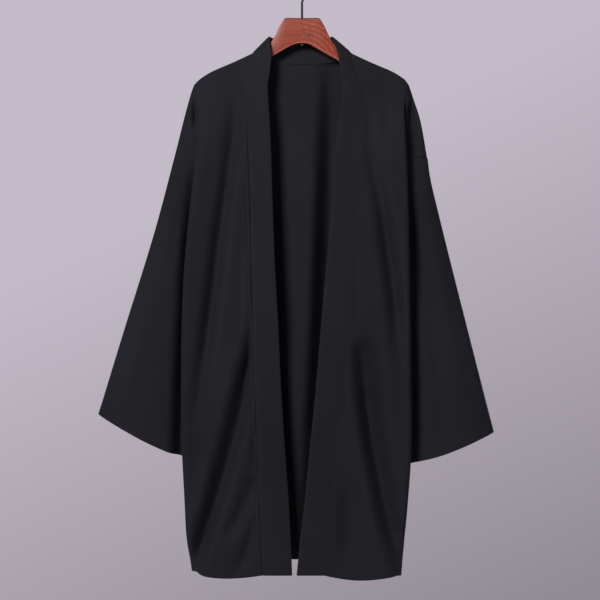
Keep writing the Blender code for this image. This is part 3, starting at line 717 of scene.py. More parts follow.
# --------------------------------------------------------------- cloth shells
class Surface:
    """The whole garment with no thickness: shared points, and quads by piece."""

    def __init__(self):
        self.grids = []

    def add(self, *grid):
        """Adds a grid: its piece, its name, its places, its turn and its flat cut."""
        self.grids.append(grid)

    def weld(self):
        """Gives points that coincide one number, and works out the normals."""
        start = 0
        self.numbers, quads, pieces = {}, [], []
        for piece, name, places, flip, _ in self.grids:
            rows, columns = places.shape[:2]
            ids = start + np.arange(rows * columns).reshape(rows, columns)
            self.numbers[name] = ids
            corners = [ids[:-1, :-1], ids[1:, :-1], ids[1:, 1:], ids[:-1, 1:]]
            corners = np.stack(corners, -1).reshape(-1, 4)
            quads.append(corners[:, ::-1] if flip else corners)
            pieces += [piece] * len(corners)
            start += rows * columns
        every = np.concatenate([grid[2].reshape(-1, 3) for grid in self.grids])
        self.cuts = np.concatenate([grid[4].reshape(-1, 2) for grid in self.grids])
        keys = np.round(every / WELD_DISTANCE).astype(np.int64)
        _, first, back = np.unique(keys, axis=0, return_index=True, return_inverse=True)
        self.point_of = back.ravel()
        self.places = every[first]
        quads = np.concatenate(quads)
        points = np.sort(self.point_of[quads], axis=1)
        whole = (np.diff(points, axis=1) > 0).all(axis=1)
        self.quads, self.pieces = quads[whole], np.array(pieces)[whole]
        points = self.point_of[self.quads]
        corners = self.places[points]
        flat = np.cross(corners[:, 2] - corners[:, 0], corners[:, 3] - corners[:, 1])
        self.normals = np.zeros_like(self.places)
        for k in range(4):
            np.add.at(self.normals, points[:, k], flat)
        self.normals /= np.linalg.norm(self.normals, axis=1, keepdims=True)

    def edges_of(self, piece):
        """The outer edges of a piece, as pairs of points in their quads' order."""
        points = self.point_of[self.quads[self.pieces == piece]]
        pairs = np.concatenate([points[:, [k, (k + 1) % 4]] for k in range(4)])
        keys = np.sort(pairs, axis=1)
        _, back, count = np.unique(keys, axis=0, return_inverse=True, return_counts=True)
        return pairs[count[back.ravel()] == 1]

    def seam_points(self):
        """The points that more than one piece uses."""
        users = np.zeros(len(self.places), int)
        for piece in set(self.pieces):
            users[np.unique(self.point_of[self.quads[self.pieces == piece]])] += 1
        return users > 1


def edge_distance(points, edges):
    """The distance from each point to the nearest of a set of edges."""
    start, run = edges[:, 0], edges[:, 1] - edges[:, 0]
    length = np.maximum((run ** 2).sum(axis=1), 1e-18)
    nearest = []
    for part in np.array_split(points, max(1, len(points) // POINTS_AT_ONCE)):
        offset = part[:, None] - start[None]
        share = np.clip((offset * run).sum(axis=2) / length, 0, 1)
        offset -= share[:, :, None] * run
        nearest.append(np.sqrt((offset ** 2).sum(axis=2).min(axis=1)))
    return np.concatenate(nearest)


def dip(distance, middle, half):
    return np.exp(-((distance - middle) / half) ** 2)


def step_down(distance, at, soft):
    """1 before a distance and 0 past it, with a soft step."""
    return 1 / (1 + np.exp(np.clip((distance - at) / soft, -40, 40)))


@functools.lru_cache(maxsize=1)
def garment():
    """Every sewn piece as one welded surface."""
    surface = Surface()
    drops = row_values(BODY_ROWS)
    for side in SIDES:
        for face in (FRONT, BACK):
            piece = "back_panel" if face == BACK else "front_" + side
            flip = (side == "left") == (face == BACK)
            for part, places in zip(("panel", "shoulder"), body_rows(side, face)):
                cut = flat_cut(places, drops[:len(places)])
                places = world(side, face, np.moveaxis(places, -1, 0))
                surface.add(piece, f"{piece}.{side}.{part}", places, flip, cut)
        rings = sleeve_rings(side)
        surface.add("sleeve_" + side, "sleeve_" + side, rings, side == "right",
                    flat_cut(rings, row_values(SLEEVE_ROWS)))
    stations = np.concatenate([band_side("right")[:0:-1], band_side("left")])
    along = distances(stations[:, 0])[:, None]
    surface.add("neckband", "neckband", stations, True, flat_cut(stations, along))
    surface.weld()
    return surface


def flat_cut(places, along):
    """Each point's place on the flat cut: across by distance, and along the grain."""
    across = distances(places, 1)
    return np.stack([across, np.broadcast_to(along, across.shape)], -1)


def seam_strengths(places, front):
    """How clearly the seam and the pressed line beside it show at each place."""
    x, y, z = places.T
    to_left = ramp(x, -SEAM_TURN, SEAM_TURN)
    neck = lerp(ramp(-z, *NECK_SEAM_TOP), FAINT_SEAM, to_left)
    behind = lerp(FAINT_SEAM, BACK_SEAM, np.exp(-(x / BACK_LINE_HALF) ** 4))
    neck = np.where(y > 0, behind, neck)
    neck = np.maximum(neck, FAINT_SEAM)
    armhole = lerp(FAINT_SEAM, 1, to_left)
    seam = np.where(np.abs(x) < ARMHOLE_FROM_X, neck, armhole)
    pressed = front * (1 - to_left) * ramp(-z, *PRESSED_TOP) * ramp(-z, *PRESSED_BOTTOM)
    return seam, pressed


def shell(name, wall, lift, lip):
    """Makes one piece of the garment into a closed shell of two walls.

    lift(seam, free, strength) gives how far the outer and the inner wall are
    moved out, from the distances to the piece's seams and to its free edges.
    A lip carries the inner wall on past the seam, over the next piece.
    """
    surface = garment()
    on_seam = surface.seam_points()
    quads = surface.quads[surface.pieces == name]
    used, local = np.unique(surface.point_of[quads], return_inverse=True)
    local = local.reshape(-1, 4)
    places, normals = surface.places[used].copy(), surface.normals[used]
    edges = surface.edges_of(name)
    seam_edge = on_seam[edges].all(axis=1)
    to_seam = edge_distance(places, surface.places[edges[seam_edge]])
    to_free = edge_distance(places, surface.places[edges[~seam_edge]])
    pull = np.zeros_like(places)
    for k in range(4):
        way = places[local].mean(axis=1) - places[local[:, k]]
        np.add.at(pull, local[:, k], way / np.linalg.norm(way, axis=1, keepdims=True))
    pull -= normals * (pull * normals).sum(axis=1, keepdims=True)
    pull /= np.maximum(np.linalg.norm(pull, axis=1, keepdims=True), 1e-9)
    places += pull * (SEAM_GAP / 2) * on_seam[used][:, None]
    strength, pressed = seam_strengths(places, name.startswith("front"))
    out, back = lift(to_seam, to_free, strength)
    outer = places + normals * (wall / 2 + out)[:, None]
    inner = places - normals * (wall / 2 - back)[:, None]
    number = np.full(len(surface.places), -1)
    number[used] = np.arange(len(used))
    edges = number[edges]
    ring = np.unique(edges)
    middle = (outer[ring] + inner[ring]) / 2
    free = ~on_seam[used][ring]
    middle -= pull[ring] * (RIM * wall * free)[:, None]
    if lip:
        sewn = ring[~free]
        inner[sewn] -= pull[sewn] * (lip * lerp(LIP_LEAST, 1, strength[sewn]))[:, None]
        middle[~free] = places[sewn] - normals[sewn] * (wall / 2 - LIP_WALL)
    of_ring = np.full(len(used), -1)
    of_ring[ring] = 2 * len(used) + np.arange(len(ring))
    a, b = edges[:, 0], edges[:, 1]
    count = len(used)
    faces = np.concatenate([
        local, local[:, ::-1] + count,
        np.stack([b, a, of_ring[a], of_ring[b]], -1),
        np.stack([of_ring[b], of_ring[a], a + count, b + count], -1),
    ])
    cuts = np.zeros((count, 2))
    cuts[local.ravel()] = surface.cuts[quads.ravel()]
    corner_cuts = np.concatenate([
        surface.cuts[quads], surface.cuts[quads[:, ::-1]],
        cuts[np.stack([b, a, a, b], -1)], cuts[np.stack([b, a, a, b], -1)],
    ])
    data = bpy.data.meshes.new(name + "_cloth")
    data.from_pydata(np.concatenate([outer, inner, middle]), [], faces.tolist())
    layer = data.uv_layers.new(name="flat cut")
    layer.uv.foreach_set("vector", corner_cuts.reshape(-1, 2).ravel())
    for label, values in (("seam", to_seam), ("line", strength), ("pressed", pressed)):
        values = np.concatenate([values, values, values[ring]])
        data.attributes.new(label, "FLOAT", "POINT").data.foreach_set("value", values)
    data.shade_smooth()
    data.set_sharp_from_angle(angle=math.radians(SEWN_EDGE_DEGREES))
    data.validate()
    return add_object(name + "_cloth", data)


def stitch_run(name, lines, size, material):
    """Lays short stitches along lines of places and outward directions."""
    length, pitch, radius = size
    verts, faces = [], []
    sides = range(STITCH_SIDES)
    pattern = [(a, b, b + STITCH_SIDES, a + STITCH_SIDES) for ring in (0, STITCH_SIDES)
               for a, b in ((ring + k, ring + (k + 1) % STITCH_SIDES) for k in sides)]
    pattern += [tuple(reversed(sides)), tuple(2 * STITCH_SIDES + k for k in sides)]
    for places, outward in lines:
        along = distances(places)
        for middle in np.arange(pitch / 2, along[-1] - pitch / 2, pitch):
            ends = [middle - length / 2, middle, middle + length / 2]
            core = [Vector([np.interp(at, along, places[:, k]) for k in range(3)]) for at in ends]
            up = Vector([np.interp(middle, along, outward[:, k]) for k in range(3)]).normalized()
            run = (core[2] - core[0]).normalized()
            side = up.cross(run).normalized()
            start = len(verts)
            for place, sink, share in zip(core, STITCH_SINK, STITCH_TAPER):
                for turn in circle(STITCH_SIDES):
                    ring = side * math.cos(turn) + up * math.sin(turn)
                    verts.append(place + ring * radius * share - up * radius * sink)
            faces += [[start + k for k in face] for face in pattern]
    data = bpy.data.meshes.new(name)
    data.from_pydata(verts, [], faces)
    data.materials.append(material)
    data.shade_smooth()
    return add_object(name, data)


def hem_row(rows, cloth):
    """The row of points that the line of stitches along a hem follows."""
    down = row_values(rows)[:, 0]
    return int(np.argmin(abs(down - (down[-1] - cloth.hem_depth + HEM_LINE))))


def line_on(grid, index, distance):
    """A line of places above the cloth along one row or column of a grid."""
    surface = garment()
    points = surface.point_of[surface.numbers[grid][index]]
    places, normals = surface.places[points], surface.normals[points]
    return places + normals * distance, normals * math.copysign(1, distance)


# --------------------------------------------------------------------- hanger
def board_ring(x, top, bottom, half):
    """A rounded section of the hanger's board."""
    middle, tall = (top + bottom) / 2, (top - bottom) / 2
    rounding = min(half, tall) * BOARD_ROUNDING
    ring = []
    for sign_y, sign_z, start in ((1, 1, 0), (-1, 1, 90), (-1, -1, 180), (1, -1, 270)):
        for step in range(BOARD_CORNER_STEPS + 1):
            angle = math.radians(start + 90 * step / BOARD_CORNER_STEPS)
            ring.append((x, sign_y * (half - rounding) + rounding * math.cos(angle),
                         middle + sign_z * (tall - rounding) + rounding * math.sin(angle)))
    return ring


def loft(rings):
    """Joins closed rings of points into a bmesh and caps both ends."""
    mesh = bmesh.new()
    made = [[mesh.verts.new(place) for place in ring] for ring in rings]
    for first, second in zip(made, made[1:]):
        for i in range(len(first)):
            j = (i + 1) % len(first)
            mesh.faces.new([first[i], first[j], second[j], second[i]])
    mesh.faces.new(list(reversed(made[0])))
    mesh.faces.new(made[-1])
    bmesh.ops.recalc_face_normals(mesh, faces=mesh.faces)
    return mesh


def finish_piece(name, mesh, material, sharp_degrees=None):
    """Makes an object of a bmesh, smooth but for its sharp edges."""
    data = bpy.data.meshes.new(name)
    mesh.to_mesh(data)
    mesh.free()
    data.materials.append(material)
    data.shade_smooth()
    if sharp_degrees:
        data.set_sharp_from_angle(angle=math.radians(sharp_degrees))
    return add_object(name, data)


def make_board(material):
    """The hanger's board, with a bore through its block for the wire."""
    reach = [0.0]
    for end, steps in BOARD_STEPS:
        reach += list(np.linspace(reach[-1], end, steps + 1)[1:])
    rings = []
    for x in [-away for away in reach[:0:-1]] + reach:
        top, bottom, half = (float(table_value(BOARD, "x", column, abs(x)))
                             for column in ("top", "bottom", "half"))
        rings.append(board_ring(x * MM, top * MM, bottom * MM, half * MM))
    board = finish_piece("hanger_board", loft(rings), material, SHARP_DEGREES)
    cutter_mesh = bmesh.new()
    bmesh.ops.create_cone(cutter_mesh, cap_ends=True, segments=BORE_SIDES,
                          radius1=BORE_RADIUS, radius2=BORE_RADIUS, depth=BORE_LENGTH)
    cutter = finish_piece("bore_cutter", cutter_mesh, material)
    cutter.location.z = (BOARD[0].top + BOARD[0].bottom) / 2 * MM
    bore = board.modifiers.new("bore", "BOOLEAN")
    bore.operation = "DIFFERENCE"
    bore.object = cutter
    bpy.context.view_layer.update()
    seen = board.evaluated_get(bpy.context.evaluated_depsgraph_get())
    cut = bpy.data.meshes.new_from_object(seen)
    board.modifiers.clear()
    board.data = cut
    cut.set_sharp_from_angle(angle=math.radians(SHARP_DEGREES))
    bpy.data.objects.remove(cutter)
    return board


def hook_route():
    """The wire's middle line from the nut up round the curl, in the XZ plane."""
    radius = HOOK_INNER_RADIUS + WIRE_RADIUS
    centre_z = -HOOK_INNER_RADIUS
    neck_z = centre_z - radius - STEM_BELOW_CURL
    route = [(0.0, BOARD[0].bottom * MM - SEAM_GAP), (0.0, BOARD[0].top * MM)]
    straight = np.linspace(BOARD[0].top * MM, neck_z, STEM_STRAIGHT_STEPS + 1)
    route += [(0.0, z) for z in straight[1:]]
    join = math.radians(CURL_START_DEGREES)
    join_x, join_z = radius * math.cos(join), centre_z + radius * math.sin(join)
    control_z = neck_z + STEM_BEND
    for t in np.linspace(0, 1, STEM_STEPS + 1)[1:-1]:
        route.append((2 * t * (1 - t) * STEM_SWAY + t * t * join_x,
                      (1 - t) ** 2 * neck_z + 2 * t * (1 - t) * control_z + t * t * join_z))
    for angle in np.linspace(join, math.radians(CURL_END_DEGREES), CURL_STEPS + 1):
        route.append((radius * math.cos(angle), centre_z + radius * math.sin(angle)))
    return route


def make_wire(material):
    """The wire hook: a round section carried along its route to a rounded tip."""
    route = hook_route()
    rings = []
    for i, (x, z) in enumerate(route):
        ahead, behind = route[min(i + 1, len(route) - 1)], route[max(i - 1, 0)]
        along = Vector((ahead[0] - behind[0], 0, ahead[1] - behind[1])).normalized()
        across = Vector((along.z, 0, -along.x))
        for forward, share in WIRE_TIP if i == len(route) - 1 else WIRE_TIP[:1]:
            middle = Vector((x, 0, z)) + along * WIRE_RADIUS * forward
            rings.append([middle + WIRE_RADIUS * share * (
                across * math.cos(turn) + Vector((0, 1, 0)) * math.sin(turn))
                for turn in circle(WIRE_SIDES)])
    return finish_piece("hook_wire_round", loft(rings), material, SHARP_DEGREES)


def make_nut(material):
    """The small nut that holds the wire under the board, with chamfered edges."""
    top = BOARD[0].bottom * MM - SEAM_GAP
    rings = []
    for drop, share in NUT_RINGS:
        radius = NUT_RADIUS * share
        rings.append([(radius * math.cos(turn), radius * math.sin(turn), top - drop * MM)
                      for turn in circle(NUT_SIDES)])
    return finish_piece("hook_nut", loft(rings), material, NUT_SHARP_DEGREES)


# ------------------------------------------------------------------ materials
def tint(colour, share, more=0.0):
    """A colour made darker or lighter, ready for a socket."""
    return (*[channel * share + more for channel in colour], 1)


class Graph:
    """The nodes of a material or a surround, added one at a time."""

    def __init__(self, owner, shader="Principled BSDF"):
        self.owner = owner
        owner.use_nodes = True
        self.tree = owner.node_tree
        self.shader = self.tree.nodes[shader]

    def put(self, node, inputs):
        for key, value in inputs.items():
            if isinstance(value, bpy.types.NodeSocket):
                self.tree.links.new(value, node.inputs[key])
            else:
                node.inputs[key].default_value = value

    def add(self, kind, inputs=None, **options):
        node = self.tree.nodes.new("ShaderNode" + kind)
        for key, value in options.items():
            setattr(node, key, value)
        self.put(node, inputs or {})
        return node

    def math(self, operation, first, second=0.0):
        return self.add("Math", {0: first, 1: second}, operation=operation).outputs[0]

    def times(self, first, second):
        return self.math("MULTIPLY", first, second)

    def plus(self, first, second):
        return self.math("ADD", first, second)

    def most(self, first, second):
        return self.math("MAXIMUM", first, second)

    def rest(self, share):
        return self.math("SUBTRACT", 1.0, share)

    def mix(self, share, first, second):
        return self.add("Mix", {0: share, 6: first, 7: second}, data_type="RGBA").outputs[2]

    def place(self, output="Object", scale=(1, 1, 1), turn=(0, 0, 0)):
        source = self.add("TexCoord").outputs[output]
        return self.add("Mapping", {"Vector": source, "Scale": scale, "Rotation": turn}).outputs[0]

    def noise(self, vector, scale, detail=3.0, roughness=0.5, distortion=0.0):
        node = self.add("TexNoise", {"Vector": vector, "Scale": scale, "Detail": detail,
                                     "Roughness": roughness, "Distortion": distortion})
        return node.outputs["Fac"]

    def value(self, label):
        """A number carried by the mesh's points."""
        return self.add("Attribute", attribute_name=label).outputs["Fac"]

    def stripe(self, value, middle, half):
        """1 where a value is at the middle of a stripe, falling to 0 at its sides."""
        away = self.math("ABSOLUTE", self.math("SUBTRACT", value, middle))
        return self.most(self.rest(self.math("DIVIDE", away, half)), 0.0)

    def ramp(self, share, stops):
        """Greys or colours blended along a share; each stop is a place and its value."""
        node = self.add("ValToRGB", {"Fac": share})
        elements = node.color_ramp.elements
        while len(elements) < len(stops):
            elements.new(0.5)
        for element, (at, value) in zip(elements, stops):
            element.position = at
            element.color = (*value, 1)[:4] if hasattr(value, "__len__") else (value,) * 3 + (1,)
        return node.outputs["Color"]

    def blend(self, share, start, end, low=0.0, high=1.0):
        """One number up to a start, another past an end."""
        return self.ramp(share, [(start, low), (end, high)])

    def bump(self, *layers):
        """The normal with layers of relief: each has a height, a depth and a strength."""
        normal = None
        for height, distance, strength in layers:
            inputs = {"Height": height, "Distance": distance, "Strength": strength}
            if normal is not None:
                inputs["Normal"] = normal
            normal = self.add("Bump", inputs).outputs[0]
        return normal


def cloth_material(name, look):
    """Fine, closely woven matte cloth with a faint nap."""
    graph = Graph(bpy.data.materials.new(name))
    flat = graph.add("TexCoord").outputs["UV"]
    cut = graph.add("SeparateXYZ", {0: flat})
    warp, weft = (graph.math("ABSOLUTE", graph.math("SINE", graph.times(
        cut.outputs[axis], math.pi / look.thread_pitch))) for axis in (0, 1))
    check = graph.add("TexChecker", {"Vector": flat, "Scale": 1 / look.thread_pitch})
    check = check.outputs["Fac"]
    weave = graph.plus(graph.times(warp, check), graph.times(weft, graph.rest(check)))
    nap = graph.noise(graph.place(), 900, 4, 0.6)
    crumple = graph.noise(graph.place(scale=(1, 1, 0.45)), 42, 3, 0.5, 0.6)
    slub = graph.noise(graph.place("UV", (60, 900, 1)), 1, 2)
    patch = graph.noise(graph.place(scale=(1, 1, 0.5)), 5.5, 4, 0.55)
    thread = graph.plus(graph.times(weave, 0.5), graph.times(slub, 0.6))
    worn = graph.blend(graph.add("NewGeometry").outputs["Pointiness"], 0.5, 0.58)
    seam = graph.value("seam")
    # painted shade along each seam and along the pressed line beside it
    line = graph.most(
        graph.times(graph.stripe(seam, 0.0, SEAM_LINE_HALF), graph.value("line")),
        graph.times(graph.stripe(seam, PRESSED_LINE, PRESSED_LINE_HALF), graph.value("pressed")))
    colour = look.cloth_colour
    base = graph.mix(graph.blend(patch, 0.3, 0.7), tint(colour, 0.78), tint(colour, 1.25, 0.001))
    base = graph.mix(graph.times(thread, 0.35), base, tint(colour, 1.5, 0.002))
    base = graph.mix(graph.times(worn, 0.25), base, tint(colour, 1.7, 0.004))
    # the seam and pressed lines darken the colour as painted shade
    base = graph.mix(graph.times(line, 0.9), base, tint(colour, 0.35))
    graph.put(graph.shader, {
        "Base Color": base,
        "Roughness": graph.plus(graph.times(nap, 0.14), look.cloth_roughness - 0.07),
        "Normal": graph.bump(
            (crumple, 1.6 * MM, 0.35),
            (graph.plus(weave, graph.times(slub, 0.4)), 0.12 * MM, 0.5),
            (nap, 0.2 * MM, 0.3), (graph.times(line, -1.0), 0.3 * MM, 0.6)),
        "Sheen Weight": look.cloth_sheen, "Sheen Roughness": 0.45,
        "Sheen Tint": (0.85, 0.87, 1.0, 1), "Specular IOR Level": 0.12,
    })
    return graph.owner


def thread_material(name, look):
    """Sewing thread: two plies twisted along each stitch."""
    graph = Graph(bpy.data.materials.new(name))
    twist = graph.add("TexWave", {"Vector": graph.place(turn=(0.5, 0.5, 0.5)), "Scale": 700.0,
                                  "Distortion": 0.6}).outputs["Fac"]
    colour = look.thread_colour
    graph.put(graph.shader, {
        "Base Color": graph.mix(twist, tint(colour, 0.7), tint(colour, 1.4)),
        "Roughness": 0.55, "Normal": graph.bump((twist, 0.1 * MM, 0.6)), "Sheen Weight": 0.1,
    })
    return graph.owner


def wood_material(name, look):
    """Stained and varnished wood: plain on one half, in long arcs on the other."""
    graph = Graph(bpy.data.materials.new(name))
    spot = graph.add("SeparateXYZ", {0: graph.place()}).outputs
    # the grain
    plain = graph.noise(graph.place(scale=(16, 90, 160)), 1, 4, 0.55, 0.8)
    centre = graph.add("VectorMath", {0: graph.place(), 1: (0, 0, ARCS_DROP)}, operation="ADD")
    arcs = graph.add("TexWave", {"Vector": centre.outputs[0], "Scale": look.wood_arcs,
                                 "Distortion": 5.0, "Detail": 3.0, "Detail Scale": 12.0,
                                 "Detail Roughness": 0.6},
                     wave_type="RINGS", rings_direction="Y").outputs["Fac"]
    arcs = graph.ramp(arcs, [(0.0, 0.38), (0.82, 0.5), (1.0, 1.0)])
    arcs_half = graph.blend(graph.plus(graph.times(spot[0], 60), 0.45), 0.45, 0.55)
    fibre = graph.noise(graph.place(scale=(60, 520, 420)), 1, 4, 0.6)
    pores = graph.noise(graph.place(scale=(170, 500, 900)), 1, 2, 0.7)
    pores = graph.blend(pores, 0.30, 0.40, 1.0, 0.0)
    slant = graph.add("Mapping", {"Vector": graph.place(turn=(0, -0.75, 0)),
                                  "Scale": (110, 300, 620)}).outputs[0]
    dashes = graph.blend(graph.noise(slant, 1, 2, 0.5), 0.40, 0.50, 1.0, 0.0)
    beside = graph.times(graph.stripe(spot[0], 10 * MM, 12 * MM),
                         graph.stripe(spot[2], -115 * MM, 15 * MM))
    dashes = graph.times(dashes, graph.math("MINIMUM", graph.times(beside, 2.5), 1.0))
    figure = graph.mix(graph.times(arcs_half, 0.85), plain, arcs)
    figure = graph.plus(graph.times(figure, 0.75), graph.times(fibre, 0.25))
    marks = graph.most(graph.times(pores, 0.25), dashes)
    joint = graph.times(graph.stripe(spot[0], 0.0, 0.7 * MM),
                        graph.blend(graph.plus(spot[2], 0.60), 0.488, 0.50))
    # painted highlight and painted shade on the sides and edges, by the way they face: lighter
    # where they face left and on the lower arris, darker on tops, undersides and faces turned
    # right
    facing = graph.add("SeparateXYZ", {0: graph.add("NewGeometry").outputs["Normal"]}).outputs
    down = graph.times(facing[2], -1.0)
    lit = graph.blend(graph.times(facing[0], -1.0), 0.3, 0.42)
    above = graph.times(graph.blend(facing[2], 0.3, 0.7), graph.rest(lit))
    below = graph.blend(down, 0.5, 0.62)
    painted_arris_highlight = graph.times(graph.blend(down, 0.16, 0.3), graph.rest(below))
    painted_side_shade = graph.blend(facing[0], 0.3, 0.6, 0.0, 0.6)
    shade = graph.most(graph.most(above, below), painted_side_shade)
    dark, light = look.wood_dark, look.wood_light
    deepest = tint(dark, 0.3)
    base = graph.ramp(figure, [(0.2, dark), (0.5, [(a + b) / 2 for a, b in zip(dark, light)]),
                               (0.76, light), (0.9, tint(light, 1.25, 0.02))])
    # the grain's marks and the dark joint are the wood's own; then painted shade, then painted
    # highlight
    for share, colour in ((graph.times(marks, 0.6), deepest), (graph.times(joint, 0.5), deepest),
                          (graph.times(shade, 0.85), deepest),
                          (graph.times(graph.most(lit, painted_arris_highlight), 0.75), tint(light, 1.5, 0.12))):
        base = graph.mix(share, base, colour)
    graph.put(graph.shader, {
        "Base Color": base,
        "Roughness": graph.plus(graph.times(fibre, 0.16), look.wood_roughness - 0.06),
        "Normal": graph.bump((graph.math("SUBTRACT", fibre, pores), 0.15 * MM, 0.35)),
        "Coat Weight": 0.1, "Coat Roughness": 0.3, "Specular IOR Level": 0.22,
    })
    return graph.owner


def metal_material(name, colour, roughness, tarnish, metallic):
    """Drawn wire or a turned nut, slightly uneven in colour and polish."""
    graph = Graph(bpy.data.materials.new(name))
    stain = graph.noise(graph.place(), 260, 4, 0.6)
    drawn = graph.noise(graph.place(scale=(1, 1, 0.2)), 1800, 2)
    graph.put(graph.shader, {
        "Base Color": graph.mix(graph.blend(stain, 0.35, 0.75), tint(colour, 1),
                                tint(colour, tarnish)),
        "Roughness": graph.plus(graph.times(stain, 0.2), roughness - 0.1),
        "Metallic": metallic, "Normal": graph.bump((drawn, 0.04 * MM, 0.3)),
    })
    return graph.owner


# ------------------------------------------------------------------- settings
def number(name, description, default, low=None, **more):
    """A setting that is one number, with its least value if it has one."""
    least = {} if low is None else {"min": low}
    return bpy.props.FloatProperty(name=name, description=description, default=default,
                                   **least, **more)


def length_of(name, description, default, low=None):
    return number(name, description, default, low, unit="LENGTH")


def share_of(name, description, default):
    return number(name, description, default, 0, max=1, subtype="FACTOR")


def colour_of(name, description, default):
    return bpy.props.FloatVectorProperty(name=name, description=description, default=default,
                                         subtype="COLOR", min=0, max=1)


def power_of(name, description, default):
    return number(name, description, default, 0, unit="POWER")


class HaoriCloth(bpy.types.PropertyGroup):
    cloth_wall: length_of("Cloth", "Thickness of the cloth", 0.9 * MM, 0.3 * MM)
    band_wall: length_of("Neckband", "Thickness of the folded neckband", 1.9 * MM, 0.5 * MM)
    hem_depth: length_of("Hem", "Depth of the turned hems and cuffs", 20 * MM, 5 * MM)
    hem_fold: length_of("Hem fold", "Extra thickness where a hem is turned up", 0.45 * MM, 0)
    seam_dip: length_of("Seam dip", "Depth of the groove along each seam", 0.7 * MM, 0)
    allowance: length_of("Allowance", "Height of the pressed allowance beside a seam", 0.3 * MM, 0)
    stitch_length: length_of("Stitch", "Length of one stitch", 2.6 * MM, 1 * MM)
    stitch_pitch: length_of("Stitch pitch", "Distance from one stitch to the next",
                            3.4 * MM, 1 * MM)
    stitch_radius: length_of("Thread", "Radius of the sewing thread", 0.22 * MM, 0.05 * MM)


class HaoriLook(bpy.types.PropertyGroup):
    cloth_colour: colour_of("Cloth", "Colour of the cloth", (0.0112, 0.0106, 0.0144))
    cloth_roughness: share_of("Cloth roughness", "Roughness of the cloth", 0.82)
    cloth_sheen: share_of("Sheen", "Strength of the cloth's nap at grazing angles", 0.04)
    thread_pitch: length_of("Thread pitch", "Distance between the cloth's threads",
                            0.42 * MM, 0.1 * MM)
    thread_colour: colour_of("Thread", "Colour of the sewing thread", (0.014, 0.0135, 0.016))
    wood_dark: colour_of("Dark wood", "Colour of the wood's dark grain", (0.15, 0.018, 0.011))
    wood_light: colour_of("Light wood", "Colour of the wood's light grain", (0.39, 0.073, 0.036))
    wood_arcs: number("Wood arcs", "How close the arcs in the wood lie", 38.0, 1.0)
    wood_roughness: share_of("Wood roughness", "Roughness under the varnish", 0.4)
    wire_colour: colour_of("Wire", "Colour of the wire", (0.008, 0.006, 0.008))
    nut_colour: colour_of("Nut", "Colour of the nut", (0.16, 0.13, 0.08))


class HaoriStage(bpy.types.PropertyGroup):
    floor_height: length_of("Floor", "Height of the floor below the hook", -1.45)
    floor_half: length_of("Floor half size", "Half the floor's width", 1.45, 0.1)
    camera_distance: length_of("Camera distance", "Distance from the camera to the middle plane",
                               2.8, 0.5)
    view_width: length_of("View width", "Width seen at the middle plane", 1.08, 0.1)
    camera_x: length_of("Camera aside", "Camera's distance to the wearer's left", -0.0036)
    camera_z: length_of("Camera height", "Camera's height from the hook", -0.5917)
    key_power: power_of("Key light", "Power of the large light", 96)
    fill_power: power_of("Fill light", "Power of the fill light", 4)
    back_power: power_of("Back light", "Power of the light behind", 50)
    surround: colour_of("Surround", "Colour of the surround", (0.43, 0.39, 0.45))
    surround_light: number("Surround light", "How much light the surround gives", 0.26, 0)


# ------------------------------------------------------------------ operators
def settings():
    scene = bpy.context.scene
    return scene.haori_cloth, scene.haori_look, scene.haori_stage


def lift_of(cloth, band):
    """How far seams, hems and allowances move a piece's two walls out."""
    def lift(seam, free, strength):
        out = -cloth.seam_dip * strength * dip(seam, 0, SEAM_HALF)
        out = out + cloth.allowance * strength * dip(seam, ALLOWANCE_MIDDLE, ALLOWANCE_HALF)
        back = np.zeros_like(seam)
        if not band:
            turned = step_down(free, cloth.hem_depth, HEM_SOFTNESS)
            out = out + cloth.hem_fold * HEM_OUT * turned
            line = dip(free, cloth.hem_depth - HEM_LINE, HEM_LINE_HALF)
            out = out - cloth.hem_fold * HEM_GROOVE * line
            back = -cloth.hem_fold * HEM_IN * turned
        else:
            flush = (cloth.band_wall - cloth.cloth_wall) / 2 * (1 - strength)
            flush = flush * ramp(seam, BAND_FLUSH_REACH, 0)
            out, back = out - flush, back + flush
            loft = ramp(seam, 0, BAND_LOFT_REACH)
            loft = loft * ramp(free, -BAND_LOFT_START, BAND_LOFT_REACH - BAND_LOFT_START)
            out = out + BAND_LOFT * loft
        return out, back
    return lift


def make_panel(name):
    """One sewn piece of cloth, hung from the hanger."""
    cloth, look, _ = settings()
    band = name == "neckband"
    wall = cloth.band_wall if band else cloth.cloth_wall
    item = shell(name, wall, lift_of(cloth, band), LIP * band)
    item.data.materials.append(shared(cloth_material, "haori cloth", look))
    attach(item, BODY)
    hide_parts(name)


def shared(make, name, look):
    """A material that several pieces share, made the first time it is asked for."""
    return bpy.data.materials.get(name) or make(name, look)


class ClothPieces:
    """Makes the sewn pieces that an operator names."""

    def execute(self, context):
        for name in self.pieces:
            make_panel(name)
        return {"FINISHED"}


class HAORI_OT_body(ClothPieces, bpy.types.Operator):
    """Make the back and the two fronts, with their dropped shoulders"""
    bl_idname = "haori.body"
    bl_label = "Body"
    pieces = ("back_panel", "front_left", "front_right")


class HAORI_OT_sleeves(ClothPieces, bpy.types.Operator):
    """Make the two wide sleeves"""
    bl_idname = "haori.sleeves"
    bl_label = "Sleeves"
    pieces = ("sleeve_left", "sleeve_right")


class HAORI_OT_neckband(ClothPieces, bpy.types.Operator):
    """Make the neckband round the back neck and down both fronts"""
    bl_idname = "haori.neckband"
    bl_label = "Neckband"
    pieces = ("neckband",)


